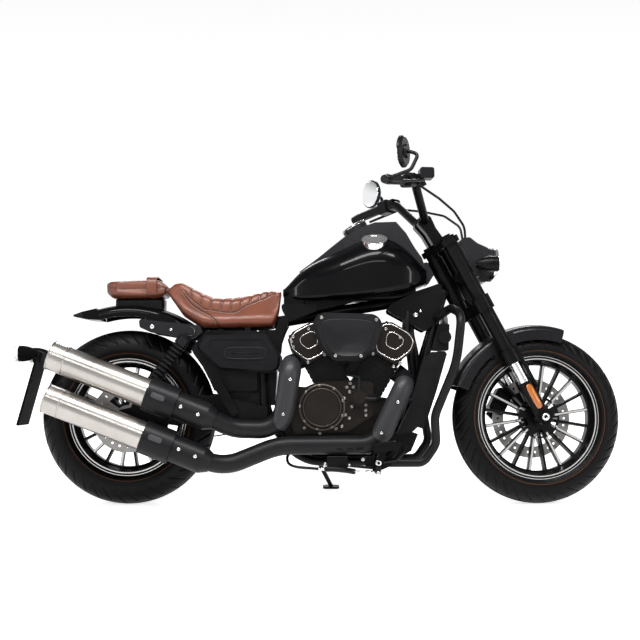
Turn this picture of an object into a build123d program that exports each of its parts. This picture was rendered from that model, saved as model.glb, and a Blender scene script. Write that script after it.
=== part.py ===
"""Cruiser motorcycle with a V-twin engine, twin stacked silencers and cast wheels.

Everything is drawn on the upright machine, wheels in line: X forward from the rear axle, Y to the left,
Z up from the floor, in millimetres. Each finished piece is then leaned onto the side stand, and the
steered ones are first turned about the steering axis. The origin is on the floor, under the middle of
the parked machine.
"""

import os
from math import atan2, cos, degrees, radians, sin, sqrt

from build123d import *

os.makedirs("parts", exist_ok=True)

# ---------------------------------------------------------------- driving dimensions
WHEELBASE = 1522
LEAN = 8.0  # degrees, to the left, onto the side stand
STEERED = 6.4  # degrees the bar is turned to the left as it stands

REAR_TYRE_R = 323
REAR_TYRE_HALF = 75
REAR_RIM_R = 217
REAR_RIM_HALF = 54
FRONT_TYRE_R = 318
FRONT_TYRE_HALF = 65
FRONT_RIM_R = 230
FRONT_RIM_HALF = 45
SPOKES = 20
AXLE_ROD_R = 10

CASTER = 28.0  # degrees from upright
FORK_OFFSET = 55  # the legs run this far ahead of the steering axis
LEG_Y = 105
LEG_R = 28
SLIDER_R = 20.5
STEM_R = 15

PIPE_R = 33.5
CAN_R = 52
CAN_Y = -240
CAN_SLOPE = 21.5  # degrees, rising to the rear

CRANK = (824, 324)  # x, z of the crankshaft
CYLINDER_LEANS = (-28.5, 29.5)  # degrees from upright, rear cylinder then front, forward positive
CASE_HALF = 88

FRAME_R = 16
CRADLE_Y = 117
PIVOT = (440, 340)  # x, z of the swing arm's pivot
SHEET = 3
SEAT_GAP = 0.3  # between pieces that seat on one another
FIT = 0.06  # radial, between a shaft and its bore
RUNNING = 6  # between pieces that move past one another

COS_C, SIN_C = cos(radians(CASTER)), sin(radians(CASTER))
FORK = Plane(
    origin=(WHEELBASE - FORK_OFFSET * COS_C, 0, FRONT_TYRE_R - FORK_OFFSET * SIN_C),
    x_dir=(COS_C, 0, SIN_C),
    z_dir=(-SIN_C, 0, COS_C),
)  # on the steering axis, level with the front axle: local x ahead, y left, z up the axis

# ---------------------------------------------------------------- standing on the floor
MIDDLE_X = 717  # from the rear axle to the middle of the whole length
MIDDLE_Y = 136  # from the tyres' line to the middle of the leaning width
TURN = FORK.location * Rot(0, 0, STEERED) * FORK.location.inverse()
LEANED = Rot(-LEAN, 0, 0)


def tyre_low(place, centre, radius, crown):
    """Height of the lowest point of a round tyre: its ring tips with the wheel, its crown does not."""
    hub = place * Pos(*centre)
    axle_z = (place * Pos(0, 1, 0)).position.Z - place.position.Z
    return hub.position.Z - (radius - crown) * sqrt(1 - axle_z**2) - crown


REAR_LOW = tyre_low(LEANED, (0, 0, REAR_TYRE_R), REAR_TYRE_R, REAR_TYRE_HALF)
FRONT_LOW = tyre_low(LEANED * TURN, (WHEELBASE, 0, FRONT_TYRE_R), FRONT_TYRE_R, FRONT_TYRE_HALF)
PITCH = degrees(atan2(FRONT_LOW - REAR_LOW, WHEELBASE))
STANDING = Pos(-MIDDLE_X, -MIDDLE_Y, -REAR_LOW) * Rot(0, PITCH, 0) * LEANED
TURNED = STANDING * TURN


def write(piece, name, place=STANDING):
    """Writes one finished sub-part, leaned (and steered) as the machine stands."""
    placed = place * piece
    placed.label = name
    export_step(placed, f"parts/{name}.step")


def side(x=0, z=0, y=0):
    """A plane facing the right-hand side: local x is forward, local y is up."""
    return Plane(origin=(x, y, z), x_dir=(1, 0, 0), z_dir=(0, -1, 0))


def across(x=0, z=0):
    """A plane across the machine: local x is to the left, local y is up."""
    return Plane(origin=(x, 0, z), x_dir=(0, 1, 0), z_dir=(1, 0, 0))


def tube(points, radius, bend=0):
    """A round bar along straight runs, with one bend radius or a list with one for each corner."""
    with BuildPart() as bar:
        with BuildLine() as path:
            if len(points) == 2:
                Line(*points)
            else:
                FilletPolyline(*points, radius=bend)
        with BuildSketch(Plane(origin=path.line @ 0, z_dir=path.line % 0)):
            Circle(radius)
        sweep()
    return bar.part


def slab(points, y_right, y_left, corner=0):
    """A flat piece with the side outline points, from y_right to y_left, its corners rounded."""
    with BuildPart() as flat:
        with BuildSketch(side(y=y_left)):
            with BuildLine():
                FilletPolyline(*points, radius=corner, close=True)
            make_face()
        extrude(amount=y_left - y_right)
    return flat.part


def disc(x, z, radius, y_right, y_left):
    """A round piece lying across the machine, from y_right to y_left."""
    with BuildPart() as puck:
        with BuildSketch(side(x, z, y_left)):
            Circle(radius)
        extrude(amount=y_left - y_right)
    return puck.part


def both(part):
    """The part and its mirror image on the other side, as one compound."""
    with BuildPart(mode=Mode.PRIVATE) as pair:
        add(part)
        mirror(about=Plane.XZ)
    return pair.part


def fork_point(ahead, left, up):
    """A point given in the fork's own plane."""
    return tuple(FORK.from_local_coords(Vector(ahead, left, up)))


# ---------------------------------------------------------------- wheels
HUB_R = 34
TYRE_WALL = 10
BEAD_DEPTH = 12
REAR_DISC_Y = -66
FRONT_DISC_Y = 62
PULLEY_R = 108
PULLEY_Y = (81, 98)
WHEELS = (
    # name, axle x, tyre radius, half width, rim radius, rim half width, hub end right, hub end left
    ("rear", 0, REAR_TYRE_R, REAR_TYRE_HALF, REAR_RIM_R, REAR_RIM_HALF, REAR_DISC_Y, PULLEY_Y[0]),
    ("front", WHEELBASE, FRONT_TYRE_R, FRONT_TYRE_HALF, FRONT_RIM_R, FRONT_RIM_HALF, -52, FRONT_DISC_Y),
)
FLANGE = 4.5
SPOKE_WIDTH = 9
HUB_COVER_R = 78
HUB_COVER_Y = -36  # the front hub cover's inner face
RIM_FLOOR = 33  # the rim's inner face lies this far inside its flange


def tyre_section(half, radius, bead_half, rim_r):
    """Half round crown, upright walls and two beads, as a closed outline in y and wheel radius."""
    centre = radius - half
    inner = half - TYRE_WALL
    with BuildSketch() as section:
        with BuildLine():
            Line((-bead_half, rim_r - BEAD_DEPTH), (-bead_half, rim_r))
            ThreePointArc(
                (-bead_half, rim_r),
                (-half * 0.93, (rim_r + centre) / 2 - 3),
                (-half, centre),
            )
            ThreePointArc((-half, centre), (0, radius), (half, centre))
            ThreePointArc((half, centre), (half * 0.93, (rim_r + centre) / 2 - 3), (bead_half, rim_r))
            Line((bead_half, rim_r), (bead_half, rim_r - BEAD_DEPTH))
            Line((bead_half, rim_r - BEAD_DEPTH), (bead_half - TYRE_WALL, rim_r - BEAD_DEPTH))
            Line((bead_half - TYRE_WALL, rim_r - BEAD_DEPTH), (bead_half - TYRE_WALL, rim_r))
            Line((bead_half - TYRE_WALL, rim_r), (inner, centre))
            ThreePointArc((inner, centre), (0, centre + inner), (-inner, centre))
            Line((-inner, centre), (TYRE_WALL - bead_half, rim_r))
            Line((TYRE_WALL - bead_half, rim_r), (TYRE_WALL - bead_half, rim_r - BEAD_DEPTH))
            Line((TYRE_WALL - bead_half, rim_r - BEAD_DEPTH), (-bead_half, rim_r - BEAD_DEPTH))
        make_face()
    return section.sketch


for name, axle_x, tyre_r, tyre_half, rim_r, rim_half, hub_right, hub_left in WHEELS:
    centre_z = tyre_r
    bead_half = rim_half - FLANGE - SEAT_GAP
    seat_r = rim_r - BEAD_DEPTH - SEAT_GAP
    place = TURNED if name == "front" else STANDING
    spin = Axis((axle_x, 0, centre_z), (0, 1, 0))

    with BuildPart() as tyre:
        with BuildSketch(across(axle_x, centre_z)):
            add(tyre_section(tyre_half, tyre_r, bead_half, rim_r))
        revolve(axis=spin)
    write(tyre.part, f"{name}_tyre", place)

    with BuildPart() as rim:
        with BuildSketch(across(axle_x, centre_z)):
            with BuildLine():
                Polyline(
                    (-rim_half, rim_r - SEAT_GAP),
                    (-rim_half + FLANGE, rim_r - SEAT_GAP),
                    (-rim_half + FLANGE, seat_r),
                    (-rim_half * 0.45, seat_r - 3),
                    (-rim_half * 0.35, rim_r - RIM_FLOOR + 7),
                    (rim_half * 0.35, rim_r - RIM_FLOOR + 7),
                    (rim_half * 0.45, seat_r - 3),
                    (rim_half - FLANGE, seat_r),
                    (rim_half - FLANGE, rim_r - SEAT_GAP),
                    (rim_half, rim_r - SEAT_GAP),
                    (rim_half, rim_r - 17),
                    (rim_half * 0.55, rim_r - 26),
                    (rim_half * 0.4, rim_r - RIM_FLOOR),
                    (-rim_half * 0.4, rim_r - RIM_FLOOR),
                    (-rim_half * 0.55, rim_r - 26),
                    (-rim_half, rim_r - 17),
                    close=True,
                )
            make_face()
        revolve(axis=spin)
        with BuildSketch(side(axle_x, centre_z, hub_left)):
            Circle(HUB_R)
        extrude(amount=hub_left - hub_right)
        with BuildSketch(side(axle_x, centre_z, rim_half * 0.55)):
            Circle(HUB_R + 22)
        extrude(amount=rim_half * 1.1)
        reach = rim_r - RIM_FLOOR + 3
        with BuildSketch(side(axle_x, centre_z, rim_half * 0.42)):
            with PolarLocations((HUB_R + reach) / 2, SPOKES, start_angle=9):
                Rectangle(reach - HUB_R, SPOKE_WIDTH)
        extrude(amount=rim_half * 0.84)
        if name == "front":
            with BuildSketch(side(axle_x, centre_z, HUB_COVER_Y)):
                Circle(HUB_COVER_R)
                with PolarLocations((HUB_R + HUB_COVER_R) / 2 + 2, 5, start_angle=54):
                    Trapezoid(44, 24, 68, rotation=90, mode=Mode.SUBTRACT)
            extrude(amount=12)
        with BuildSketch(side(axle_x, centre_z, hub_left)):
            Circle(AXLE_ROD_R + FIT)
        extrude(amount=hub_left - hub_right, mode=Mode.SUBTRACT)
    write(rim.part, f"{name}_rim", place)

DISCS = (
    # name, axle x, axle z, y of the inner face, outer radius, inner radius, drilled holes
    ("rear", 0, REAR_TYRE_R, REAR_DISC_Y, 130, 88, 24),
    ("front", WHEELBASE, FRONT_TYRE_R, FRONT_DISC_Y, 150, 108, 30),
)
DISC_THICK = 5
for name, axle_x, axle_z, y_in, outer, inner, holes in DISCS:
    outward = 1 if y_in > 0 else -1
    face = Plane(origin=(axle_x, y_in, axle_z), x_dir=(1, 0, 0), z_dir=(0, outward, 0))
    with BuildPart() as rotor:
        with BuildSketch(face):
            Circle(outer)
            Circle(inner, mode=Mode.SUBTRACT)
            with PolarLocations((outer + inner) / 2, holes):
                Circle(4.5, mode=Mode.SUBTRACT)
        extrude(amount=DISC_THICK)
        with BuildSketch(face):
            with PolarLocations((inner + HUB_R) / 2, 5):
                Rectangle(inner - HUB_R + 8, 16)
            Circle(HUB_R + 10)
            Circle(AXLE_ROD_R + 4, mode=Mode.SUBTRACT)
        extrude(amount=DISC_THICK)
    write(rotor.part, f"{name}_disc", TURNED if name == "front" else STANDING)

BELT_WIDTH = 16
DRIVE_R = 42
DRIVE_X, DRIVE_Z = 590, 330
with BuildPart() as rear_pulley:
    with BuildSketch(side(0, REAR_TYRE_R, PULLEY_Y[1])):
        Circle(PULLEY_R)
        with PolarLocations(PULLEY_R * 0.66, 6):
            Circle(20, mode=Mode.SUBTRACT)
        Circle(AXLE_ROD_R + 4, mode=Mode.SUBTRACT)
    extrude(amount=PULLEY_Y[1] - PULLEY_Y[0])
write(rear_pulley.part, "rear_pulley")

# The toothed belt wraps both pulleys, clear of the one that turns.
BELT_THICK = 5
belt_r = PULLEY_R + RUNNING
belt_y = (PULLEY_Y[0] + PULLEY_Y[1] + BELT_WIDTH) / 2
with BuildPart() as drive_belt:
    with BuildSketch(side(y=belt_y)):
        for grow, mode in ((BELT_THICK, Mode.ADD), (0, Mode.SUBTRACT)):
            with BuildSketch(side(y=belt_y), mode=mode):
                with Locations((0, REAR_TYRE_R)):
                    Circle(belt_r + grow)
                with Locations((DRIVE_X, DRIVE_Z)):
                    Circle(DRIVE_R + grow)
                make_hull()
    extrude(amount=BELT_WIDTH)
write(drive_belt.part, "drive_belt")

# ---------------------------------------------------------------- frame
HEAD_LOW, HEAD_HIGH = 514, 704  # along the steering axis
HEAD_R = 30
ENGINE_LOW_Z = 163
CRADLE = (
    # x, y, z, bend radius at the corner
    (1176, 34, 790, 0),
    (1032, 72, 318, 260),
    (972, CRADLE_Y, ENGINE_LOW_Z, 90),
    (640, CRADLE_Y, ENGINE_LOW_Z, 150),
    (508, CRADLE_Y, 330, 170),
    (500, 100, 634, 0),
)
cradle_points = [row[:3] for row in CRADLE]
cradle_bends = [row[3] for row in CRADLE[1:-1]]
DOWN_RUN = Vector(CRADLE[0][0] - CRADLE[1][0], 0, CRADLE[0][2] - CRADLE[1][2]).normalized()
DOWNTUBE = Plane(origin=(CRADLE[1][0], 0, CRADLE[1][2]), x_dir=(0, 1, 0), z_dir=tuple(DOWN_RUN))
SPINE_R = 22
SPINE_REAR = (478, 0, 664)
RAIL_R = 12
RAIL_Y, RAIL_Z = 82, 656
SEAT_FEET = (290, 380)
PAN_Z = 706  # the hollow under the rider's seat reaches up to here
PANEL_Y = 60
PANEL_SHEET = 5
HEAD_PANEL = (
    (958, 716), (974, 740), (1062, 788), (1118, 806), (1162, 822), (1170, 780), (1134, 664), (1100, 638),
)
REAR_PANEL = ((568, 742), (568, 724), (594, 676), (640, 692), (700, 716), (700, 742))
head_plane = FORK.offset(HEAD_LOW)
with BuildPart() as frame_spine:
    with BuildSketch(head_plane):
        Circle(HEAD_R)
    extrude(amount=HEAD_HIGH - HEAD_LOW)
    add(tube([fork_point(0, 0, (HEAD_LOW + HEAD_HIGH) / 2 - 45), SPINE_REAR], SPINE_R))
    for turn in (-1, 1):
        rail = [(490, turn * 10, RAIL_Z + 4), (425, turn * RAIL_Y, RAIL_Z), (262, turn * RAIL_Y, RAIL_Z)]
        add(tube(rail, RAIL_R, 60))
    add(both(slab(HEAD_PANEL, -PANEL_Y - PANEL_SHEET, -PANEL_Y, 12)))
    add(both(slab(REAR_PANEL, -PANEL_Y - PANEL_SHEET, -PANEL_Y, 8)))
    for x, z in ((1108, 762), (620, 706)):
        add(disc(x, z, 9, -PANEL_Y, PANEL_Y))
    for x in SEAT_FEET:
        foot = ((x - 10, RAIL_Z), (x - 10, PAN_Z - SEAT_GAP), (x + 10, PAN_Z - SEAT_GAP), (x + 10, RAIL_Z))
        add(both(slab(foot, -RAIL_Y - 5, -RAIL_Y + 5)))
    with BuildSketch(head_plane):
        Circle(STEM_R + FIT)
    extrude(amount=HEAD_HIGH - HEAD_LOW, mode=Mode.SUBTRACT)
write(frame_spine.part, "frame_spine")

STAND_TILT = 43  # degrees, the hinge's axis above level
STAND_FORWARD = 20  # degrees, the leg ahead of straight down
STAND_RING = 15
STAND_HALF = 9
STAND_BAR_R = 8.2
STAND_PIVOT = (700, CRADLE_Y + 35, 160)
hinge = Vector(0, cos(radians(STAND_TILT)), sin(radians(STAND_TILT)))
STAND = Plane(origin=STAND_PIVOT, x_dir=(0, hinge.Z, -hinge.Y), z_dir=tuple(hinge))
STAND_PIN_R = 6
STAND_HINGE = (
    # from, to along the hinge's axis, radius: the frame's boss, the pin and its head
    (-26, -STAND_HALF - SEAT_GAP, STAND_RING),
    (-STAND_HALF - SEAT_GAP, 16, STAND_PIN_R),
    (STAND_HALF + SEAT_GAP, 16, 10),
)
ARM_IN, ARM_OUT = 104, 130
PLATE_IN = 99.5
PIVOT_BOLT_R = 9
PIVOT_NUT_R = 16
PIVOT_PLATE = ((420, 318), (420, 366), (462, 410), (524, 420), (524, 262), (500, 262))
GUSSETS = (
    # outline under the seat's front, or below the radiator, then y of the right and left faces
    (
        ((486, 556), (486, 644), (545, 644), (566, 692), (592, 692), (594, 664), (582, 640), (568, 600), (564, 560)),
        -104,
        -97.5,
    ),
    (((900, 172), (956, 262), (1040, 272), (1070, 262), (1044, 200), (990, 172)), -112, -106),
)
with BuildPart() as frame_cradles:
    add(both(tube(cradle_points, FRAME_R, cradle_bends)))
    add(both(slab(PIVOT_PLATE, -ARM_IN + SEAT_GAP, -PLATE_IN, 10)))
    for outline, y_right, y_left in GUSSETS:
        add(both(slab(outline, y_right, y_left, 3)))
    add(disc(*PIVOT, PIVOT_BOLT_R, -ARM_OUT - 10, ARM_OUT + 10))
    add(both(disc(*PIVOT, PIVOT_NUT_R, -ARM_OUT - 8, -ARM_OUT)))
    for low, high, radius in STAND_HINGE:
        with BuildSketch(STAND.offset(low)):
            Circle(radius)
        extrude(amount=high - low)
    add(frame_spine.part, mode=Mode.SUBTRACT)
write(frame_cradles.part, "frame_cradles")

# ---------------------------------------------------------------- swing arm and shocks
NUT_R = 17
AXLE_END = ARM_OUT + 14
SHOCK_Y = 150
SHOCK_LOW = (50, 378)
SHOCK_TOP = (236, 637)
EYE_R = 15
STUD_R = 8
ARM_OUTLINE = ((-42, 301), (-42, 345), (30, 362), (395, 370), (464, 364), (464, 316), (395, 308), (30, 290))
with BuildPart() as swing_arm:
    add(slab(ARM_OUTLINE, -ARM_OUT, -ARM_IN, 18))
    add(slab(((18, 350), (34, 396), (66, 396), (84, 350)), -ARM_OUT, -ARM_IN, 8))
    add(disc(*SHOCK_LOW, STUD_R, -SHOCK_Y - EYE_R, -ARM_IN))
    mirror(about=Plane.XZ)
    add(disc(378, 339, 19, -ARM_IN, ARM_IN))
    add(disc(0, REAR_TYRE_R, AXLE_ROD_R, -AXLE_END, AXLE_END))
    add(disc(0, REAR_TYRE_R, NUT_R, -AXLE_END + 2, -ARM_OUT))
    add(disc(0, REAR_TYRE_R, NUT_R, ARM_OUT, AXLE_END - 2))
    add(disc(0, REAR_TYRE_R, AXLE_ROD_R + 5, -ARM_IN, REAR_DISC_Y - DISC_THICK - RUNNING))
    add(frame_cradles.part, mode=Mode.SUBTRACT)
write(swing_arm.part, "swing_arm")

SPRING_TURNS = 13
SPRING_R = 25
SPRING_WIRE = 8
shock_run = Vector(SHOCK_TOP[0] - SHOCK_LOW[0], 0, SHOCK_TOP[1] - SHOCK_LOW[1])
shock_length = shock_run.length
SHOCK = Plane(origin=(SHOCK_LOW[0], -SHOCK_Y, SHOCK_LOW[1]), x_dir=(0, 1, 0), z_dir=tuple(shock_run))
spring_low, spring_high = 38, shock_length - 62
pitch = (spring_high - spring_low) / SPRING_TURNS
with BuildPart() as shocks:
    with BuildSketch(Plane(origin=SHOCK.origin, x_dir=SHOCK.x_dir, z_dir=SHOCK.x_dir.cross(SHOCK.z_dir))):
        with BuildLine():
            coil = [(0, 12), (11, 12), (11, 26), (24, 26), (24, spring_low)]
            for turn in range(SPRING_TURNS):
                base = spring_low + turn * pitch
                coil += [
                    (SPRING_R - SPRING_WIRE, base),
                    (SPRING_R, base + pitch * 0.3),
                    (SPRING_R, base + pitch * 0.7),
                    (SPRING_R - SPRING_WIRE, base + pitch),
                ]
            coil += [(24, spring_high), (24, spring_high + 30), (12, spring_high + 40), (0, spring_high + 40)]
            seen = [point for index, point in enumerate(coil) if index == 0 or point != coil[index - 1]]
            Polyline(*seen, close=True)
        make_face()
    revolve(axis=Axis(SHOCK.origin, SHOCK.z_dir))
    for x, z in (SHOCK_LOW, SHOCK_TOP):
        add(disc(x, z, EYE_R, -SHOCK_Y - EYE_R + 1, -SHOCK_Y + EYE_R - 1))
    for x, z in (SHOCK_LOW, SHOCK_TOP):
        with BuildSketch(side(x, z, 0)):
            Circle(STUD_R + FIT)
        extrude(amount=2 * SHOCK_Y, mode=Mode.SUBTRACT)
    mirror(about=Plane.XZ)
write(shocks.part, "shocks")

# ---------------------------------------------------------------- rear fender, struts and tail
FENDER_R = 418
FENDER_HALF = 92
FENDER_EDGE = 372
FENDER_FROM, FENDER_TO = 52, 106  # degrees from straight ahead


def wheel_plane(x, z, angle):
    """Cuts a wheel through its axle: local x is to the left, local y runs outward at the angle."""
    return Plane(origin=(x, 0, z), x_dir=(0, 1, 0), z_dir=(sin(radians(angle)), 0, -cos(radians(angle))))


def fender_outline(half, edge, crown, bottom):
    """A fender across its wheel, filled down to bottom: upright sides, round shoulders, slightly bowed top."""
    with BuildSketch() as outline:
        with BuildLine():
            FilletPolyline(
                (-half, edge), (-half, crown - 10), (0, crown + 4), (half, crown - 10), (half, edge),
                radius=(26, 150, 26),
            )
            Polyline((half, edge), (half, bottom), (-half, bottom), (-half, edge))
        make_face()
    return outline.sketch


def fender_section(half, edge, crown, sheet):
    """The fender's own sheet, cut across its wheel."""
    with BuildSketch() as strip:
        add(fender_outline(half, edge + 1, crown, edge))
        add(fender_outline(half - sheet, edge + 1, crown - sheet, edge - 1), mode=Mode.SUBTRACT)
    return strip.sketch


def fender_room(x, z, half, crown, inner):
    """The whole ring that a fender fills, from the radius inner outwards."""
    with BuildPart() as ring:
        with BuildSketch(wheel_plane(x, z, 0)):
            add(fender_outline(half, inner + 20, crown, inner))
        revolve(axis=Axis((x, 0, z), (0, 1, 0)))
    return ring.part


rear_room = fender_room(0, REAR_TYRE_R, FENDER_HALF + SEAT_GAP, FENDER_R + SEAT_GAP, 250)
TAIL = ((-115.6, 724.6), (-210, 703), (-207, 696), (-150, 684), (-102.9, 680.9))
STRUT = ((46, 684), (140, 672), (268, 660), (282, 636), (250, 612), (222, 612), (90, 634), (50, 652))
STRUT_STUD = (268, 648)  # onto the frame's rail
FENDER_TAB = ((70, 668), (84, 640), (178, 630), (200, 660), (150, 700), (80, 706))
STRUT_IN, STRUT_OUT = 112, 124
STRUT_BOLTS = ((96, 654), (165, 644))
with BuildPart() as tail_piece:
    with BuildSketch(side(y=FENDER_HALF)):
        with BuildLine():
            Polyline(*TAIL, close=True)
        make_face()
    extrude(amount=2 * FENDER_HALF)
    with BuildSketch(Plane.XY.offset(600)):
        with BuildLine():
            FilletPolyline((-60, -88), (-60, 88), (-170, 80), (-212, 34), (-212, -34), (-170, -80), radius=12, close=True)
        make_face()
    extrude(amount=200, mode=Mode.INTERSECT)
with BuildPart() as rear_fender:
    with BuildSketch(wheel_plane(0, REAR_TYRE_R, FENDER_FROM)):
        add(fender_section(FENDER_HALF, FENDER_EDGE, FENDER_R, SHEET))
    revolve(axis=Axis((0, 0, REAR_TYRE_R), (0, -1, 0)), revolution_arc=FENDER_TO - FENDER_FROM)
    add(tail_piece.part)
    add(both(slab(FENDER_TAB, -FENDER_HALF, -FENDER_HALF + SHEET, 8)))
write(rear_fender.part, "rear_fender")
with BuildPart() as fender_struts:
    add(slab(STRUT, -STRUT_OUT, -STRUT_IN, 10))
    for x, z in STRUT_BOLTS:
        add(disc(x, z, 10, -STRUT_IN, -FENDER_HALF + 3))
    add(disc(*SHOCK_TOP, STUD_R, -SHOCK_Y - EYE_R, -STRUT_IN))
    add(disc(*STRUT_STUD, 7, -STRUT_IN, -RAIL_Y + 4))
    mirror(about=Plane.XZ)
    add(rear_room, mode=Mode.SUBTRACT)
    add(frame_spine.part, mode=Mode.SUBTRACT)
write(fender_struts.part, "fender_struts")

# ---------------------------------------------------------------- seats
SEAT_HALF = 142
SEAT_LINE = (
    (152, 770), (147, 803), (172, 824), (200, 829), (260, 797), (316, 773), (374, 765), (419, 768),
    (464, 782), (508, 797), (542, 802), (565, 793), (558, 700), (540, 648), (275, 648), (207, 694),
)
SEAT_PLAN = (
    (130, -112), (200, -135), (300, -SEAT_HALF), (390, -132), (480, -104), (575, -84),
    (575, 84), (480, 104), (390, 132), (300, SEAT_HALF), (200, 135), (130, 112),
)
STRUT_NOTCH = ((225, 600), (225, 674), (295, 674), (295, 600))
PAN_PLAN = (
    (190, -100), (462, -100), (525, -32), (600, -32), (600, 32), (525, 32), (462, 100), (190, 100),
)  # the hollow under the rider's seat, narrow where the spine runs out ahead
PILLION_LINE = (
    (-52, 760), (-80, 800), (-78, 817), (-61, 830), (0, 836), (64, 838), (108, 838), (140, 820), (142, 790),
    (136, 768), (100, 762),
)
PILLION_PLAN = ((-84, -62), (-40, -96), (60, -104), (143, -110), (143, 110), (60, 104), (-40, 96), (-84, 62))


def cushion(line, plan):
    """A soft block with a side outline and a plan, its corners rounded."""
    with BuildPart() as block:
        with BuildSketch(side(y=200)):
            with BuildLine():
                FilletPolyline(*line, radius=8, close=True)
            make_face()
        extrude(amount=400)
        with BuildSketch(Plane.XY.offset(500)):
            with BuildLine():
                FilletPolyline(*plan, radius=24, close=True)
            make_face()
        extrude(amount=500, mode=Mode.INTERSECT)
    return block.part


with BuildPart() as rider_seat:
    add(cushion(SEAT_LINE, SEAT_PLAN))
    add(rear_room, mode=Mode.SUBTRACT)
    add(both(slab(STRUT_NOTCH, -STRUT_OUT - 2, -RAIL_Y - RAIL_R)), mode=Mode.SUBTRACT)
    with BuildSketch(Plane.XY.offset(PAN_Z)):
        with BuildLine():
            Polyline(*PAN_PLAN, close=True)
        make_face()
    extrude(amount=600 - PAN_Z, mode=Mode.SUBTRACT)
write(rider_seat.part, "rider_seat")
with BuildPart() as pillion_seat:
    add(cushion(PILLION_LINE, PILLION_PLAN))
    add(slab(((-50, 715), (-50, 764), (130, 766), (130, 715)), -58, 58, 4))
    add(rear_room, mode=Mode.SUBTRACT)
write(pillion_seat.part, "pillion_seat")

# ---------------------------------------------------------------- side covers and the battery box
COVER_IN, COVER_OUT = 126, 156
COVER_LINE = ((255, 577), (284, 622), (516, 630), (568, 548), (560, 493), (522, 484), (346, 496))
RECESS_LINE = ((300, 588), (316, 606), (500, 608), (538, 558), (532, 530), (514, 518), (372, 514))
SLOT_CENTRE = (438, 557)
BOX_LINE = (
    (322, 420), (304, 460), (278, 510), (245, 556), (236, 576), (290, 641), (480, 641), (480, 420),
)
INNER_BOX_LINE = ((338, 366), (338, 430), (476, 430), (476, 640), (548, 640), (552, 470), (544, 366))
INNER_BOX_HALF = 74  # clear of the drive belt
with BuildPart() as side_covers:
    add(slab(COVER_LINE, -COVER_OUT, -COVER_IN, 26))
    chamfer(side_covers.faces().sort_by(Axis.Y)[0].edges(), 9)
    with BuildSketch(side(y=-COVER_OUT)):
        with BuildLine():
            FilletPolyline(*RECESS_LINE, radius=14, close=True)
        make_face()
        with Locations(SLOT_CENTRE):
            SlotOverall(150, 42, rotation=0, mode=Mode.SUBTRACT)
    extrude(amount=-4, mode=Mode.SUBTRACT)
    mirror(about=Plane.XZ)
    add(slab(BOX_LINE, -CRADLE_Y + FRAME_R + 4, CRADLE_Y - FRAME_R - 4, 4))
    add(slab(INNER_BOX_LINE, -INNER_BOX_HALF, INNER_BOX_HALF, 4))
    for x, z in ((350, 590), (450, 590)):
        add(disc(x, z, 14, -COVER_IN, COVER_IN))
        strap = ((x - 16, 620), (x - 16, RAIL_Z), (x + 4, RAIL_Z), (x + 4, 620))
        add(both(slab(strap, -RAIL_Y - 8, -RAIL_Y + 12)))
    add(frame_spine.part, mode=Mode.SUBTRACT)
write(side_covers.part, "side_covers")

# ---------------------------------------------------------------- engine
DECK = 118  # from the crankshaft to the foot of each cylinder
BARREL_TOP = 245
HEAD_TOP = 372
BARREL_HALF = 62
BARREL_Y = 74
FINS = 7
GROOVE = 3
V_ANGLE = CYLINDER_LEANS[1] - CYLINDER_LEANS[0]


def bank(lean, y=0):
    """A side plane with local y up the cylinder leaning by that many degrees and local x ahead of it."""
    tilt = radians(lean)
    return Plane(origin=(CRANK[0], y, CRANK[1]), x_dir=(cos(tilt), 0, -sin(tilt)), z_dir=(0, -1, 0))


def bank_point(lean, ahead, up):
    """Side coordinates of a point given beside and along a leaning cylinder."""
    tilt = radians(lean)
    return (
        CRANK[0] + ahead * cos(tilt) + up * sin(tilt),
        CRANK[1] - ahead * sin(tilt) + up * cos(tilt),
    )


deck_ends = [bank_point(lean, ahead, DECK) for lean, ahead in zip(CYLINDER_LEANS, (-66, 66))]
deck_meet = DECK / cos(radians(V_ANGLE / 2))
CASE_LINE = (
    (566, 262), (560, 398), (606, 438), (680, 432),
    deck_ends[0], bank_point(sum(CYLINDER_LEANS) / 2, 0, deck_meet), deck_ends[1],
    (968, 340), (950, 250), (900, 200), (640, 200),
)
RIGHT_LINE = ((604, 318), (617, 262), (808, 270), (905, 330), (905, 452), (832, 458), (700, 452), (624, 420))
with BuildPart() as engine_case:
    with BuildSketch(side(y=CASE_HALF)):
        with BuildLine():
            Polyline(*CASE_LINE, close=True)
        make_face()
    extrude(amount=2 * CASE_HALF)
    add(slab(RIGHT_LINE, -CASE_HALF - 40, -CASE_HALF, 12))
    add(disc(DRIVE_X, DRIVE_Z, DRIVE_R + 20, PULLEY_Y[0] - 6, CASE_HALF), mode=Mode.SUBTRACT)
write(engine_case.part, "engine_case")

CLUTCH = (717, 360)
PUMP = (852, 395)
ENGINE_COVERS = (
    # x, z, radius, y from, y to
    (*CLUTCH, 86, -CASE_HALF - 58, -CASE_HALF - 40),
    (*CLUTCH, 74, -CASE_HALF - 76, -CASE_HALF - 58),
    (*CLUTCH, 62, -CASE_HALF - 82, -CASE_HALF - 76),
    (*PUMP, 32, -CASE_HALF - 62, -CASE_HALF - 40),
    (*PUMP, 22, -CASE_HALF - 76, -CASE_HALF - 62),
)
LEFT_COVERS = (
    (CRANK[0], CRANK[1] + 4, 92, CASE_HALF, CASE_HALF + 36),
    (CRANK[0], CRANK[1] + 4, 74, CASE_HALF + 36, CASE_HALF + 52),
    (DRIVE_X + 12, DRIVE_Z + 4, 56, CASE_HALF + 14, CASE_HALF + 36),
)

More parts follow.
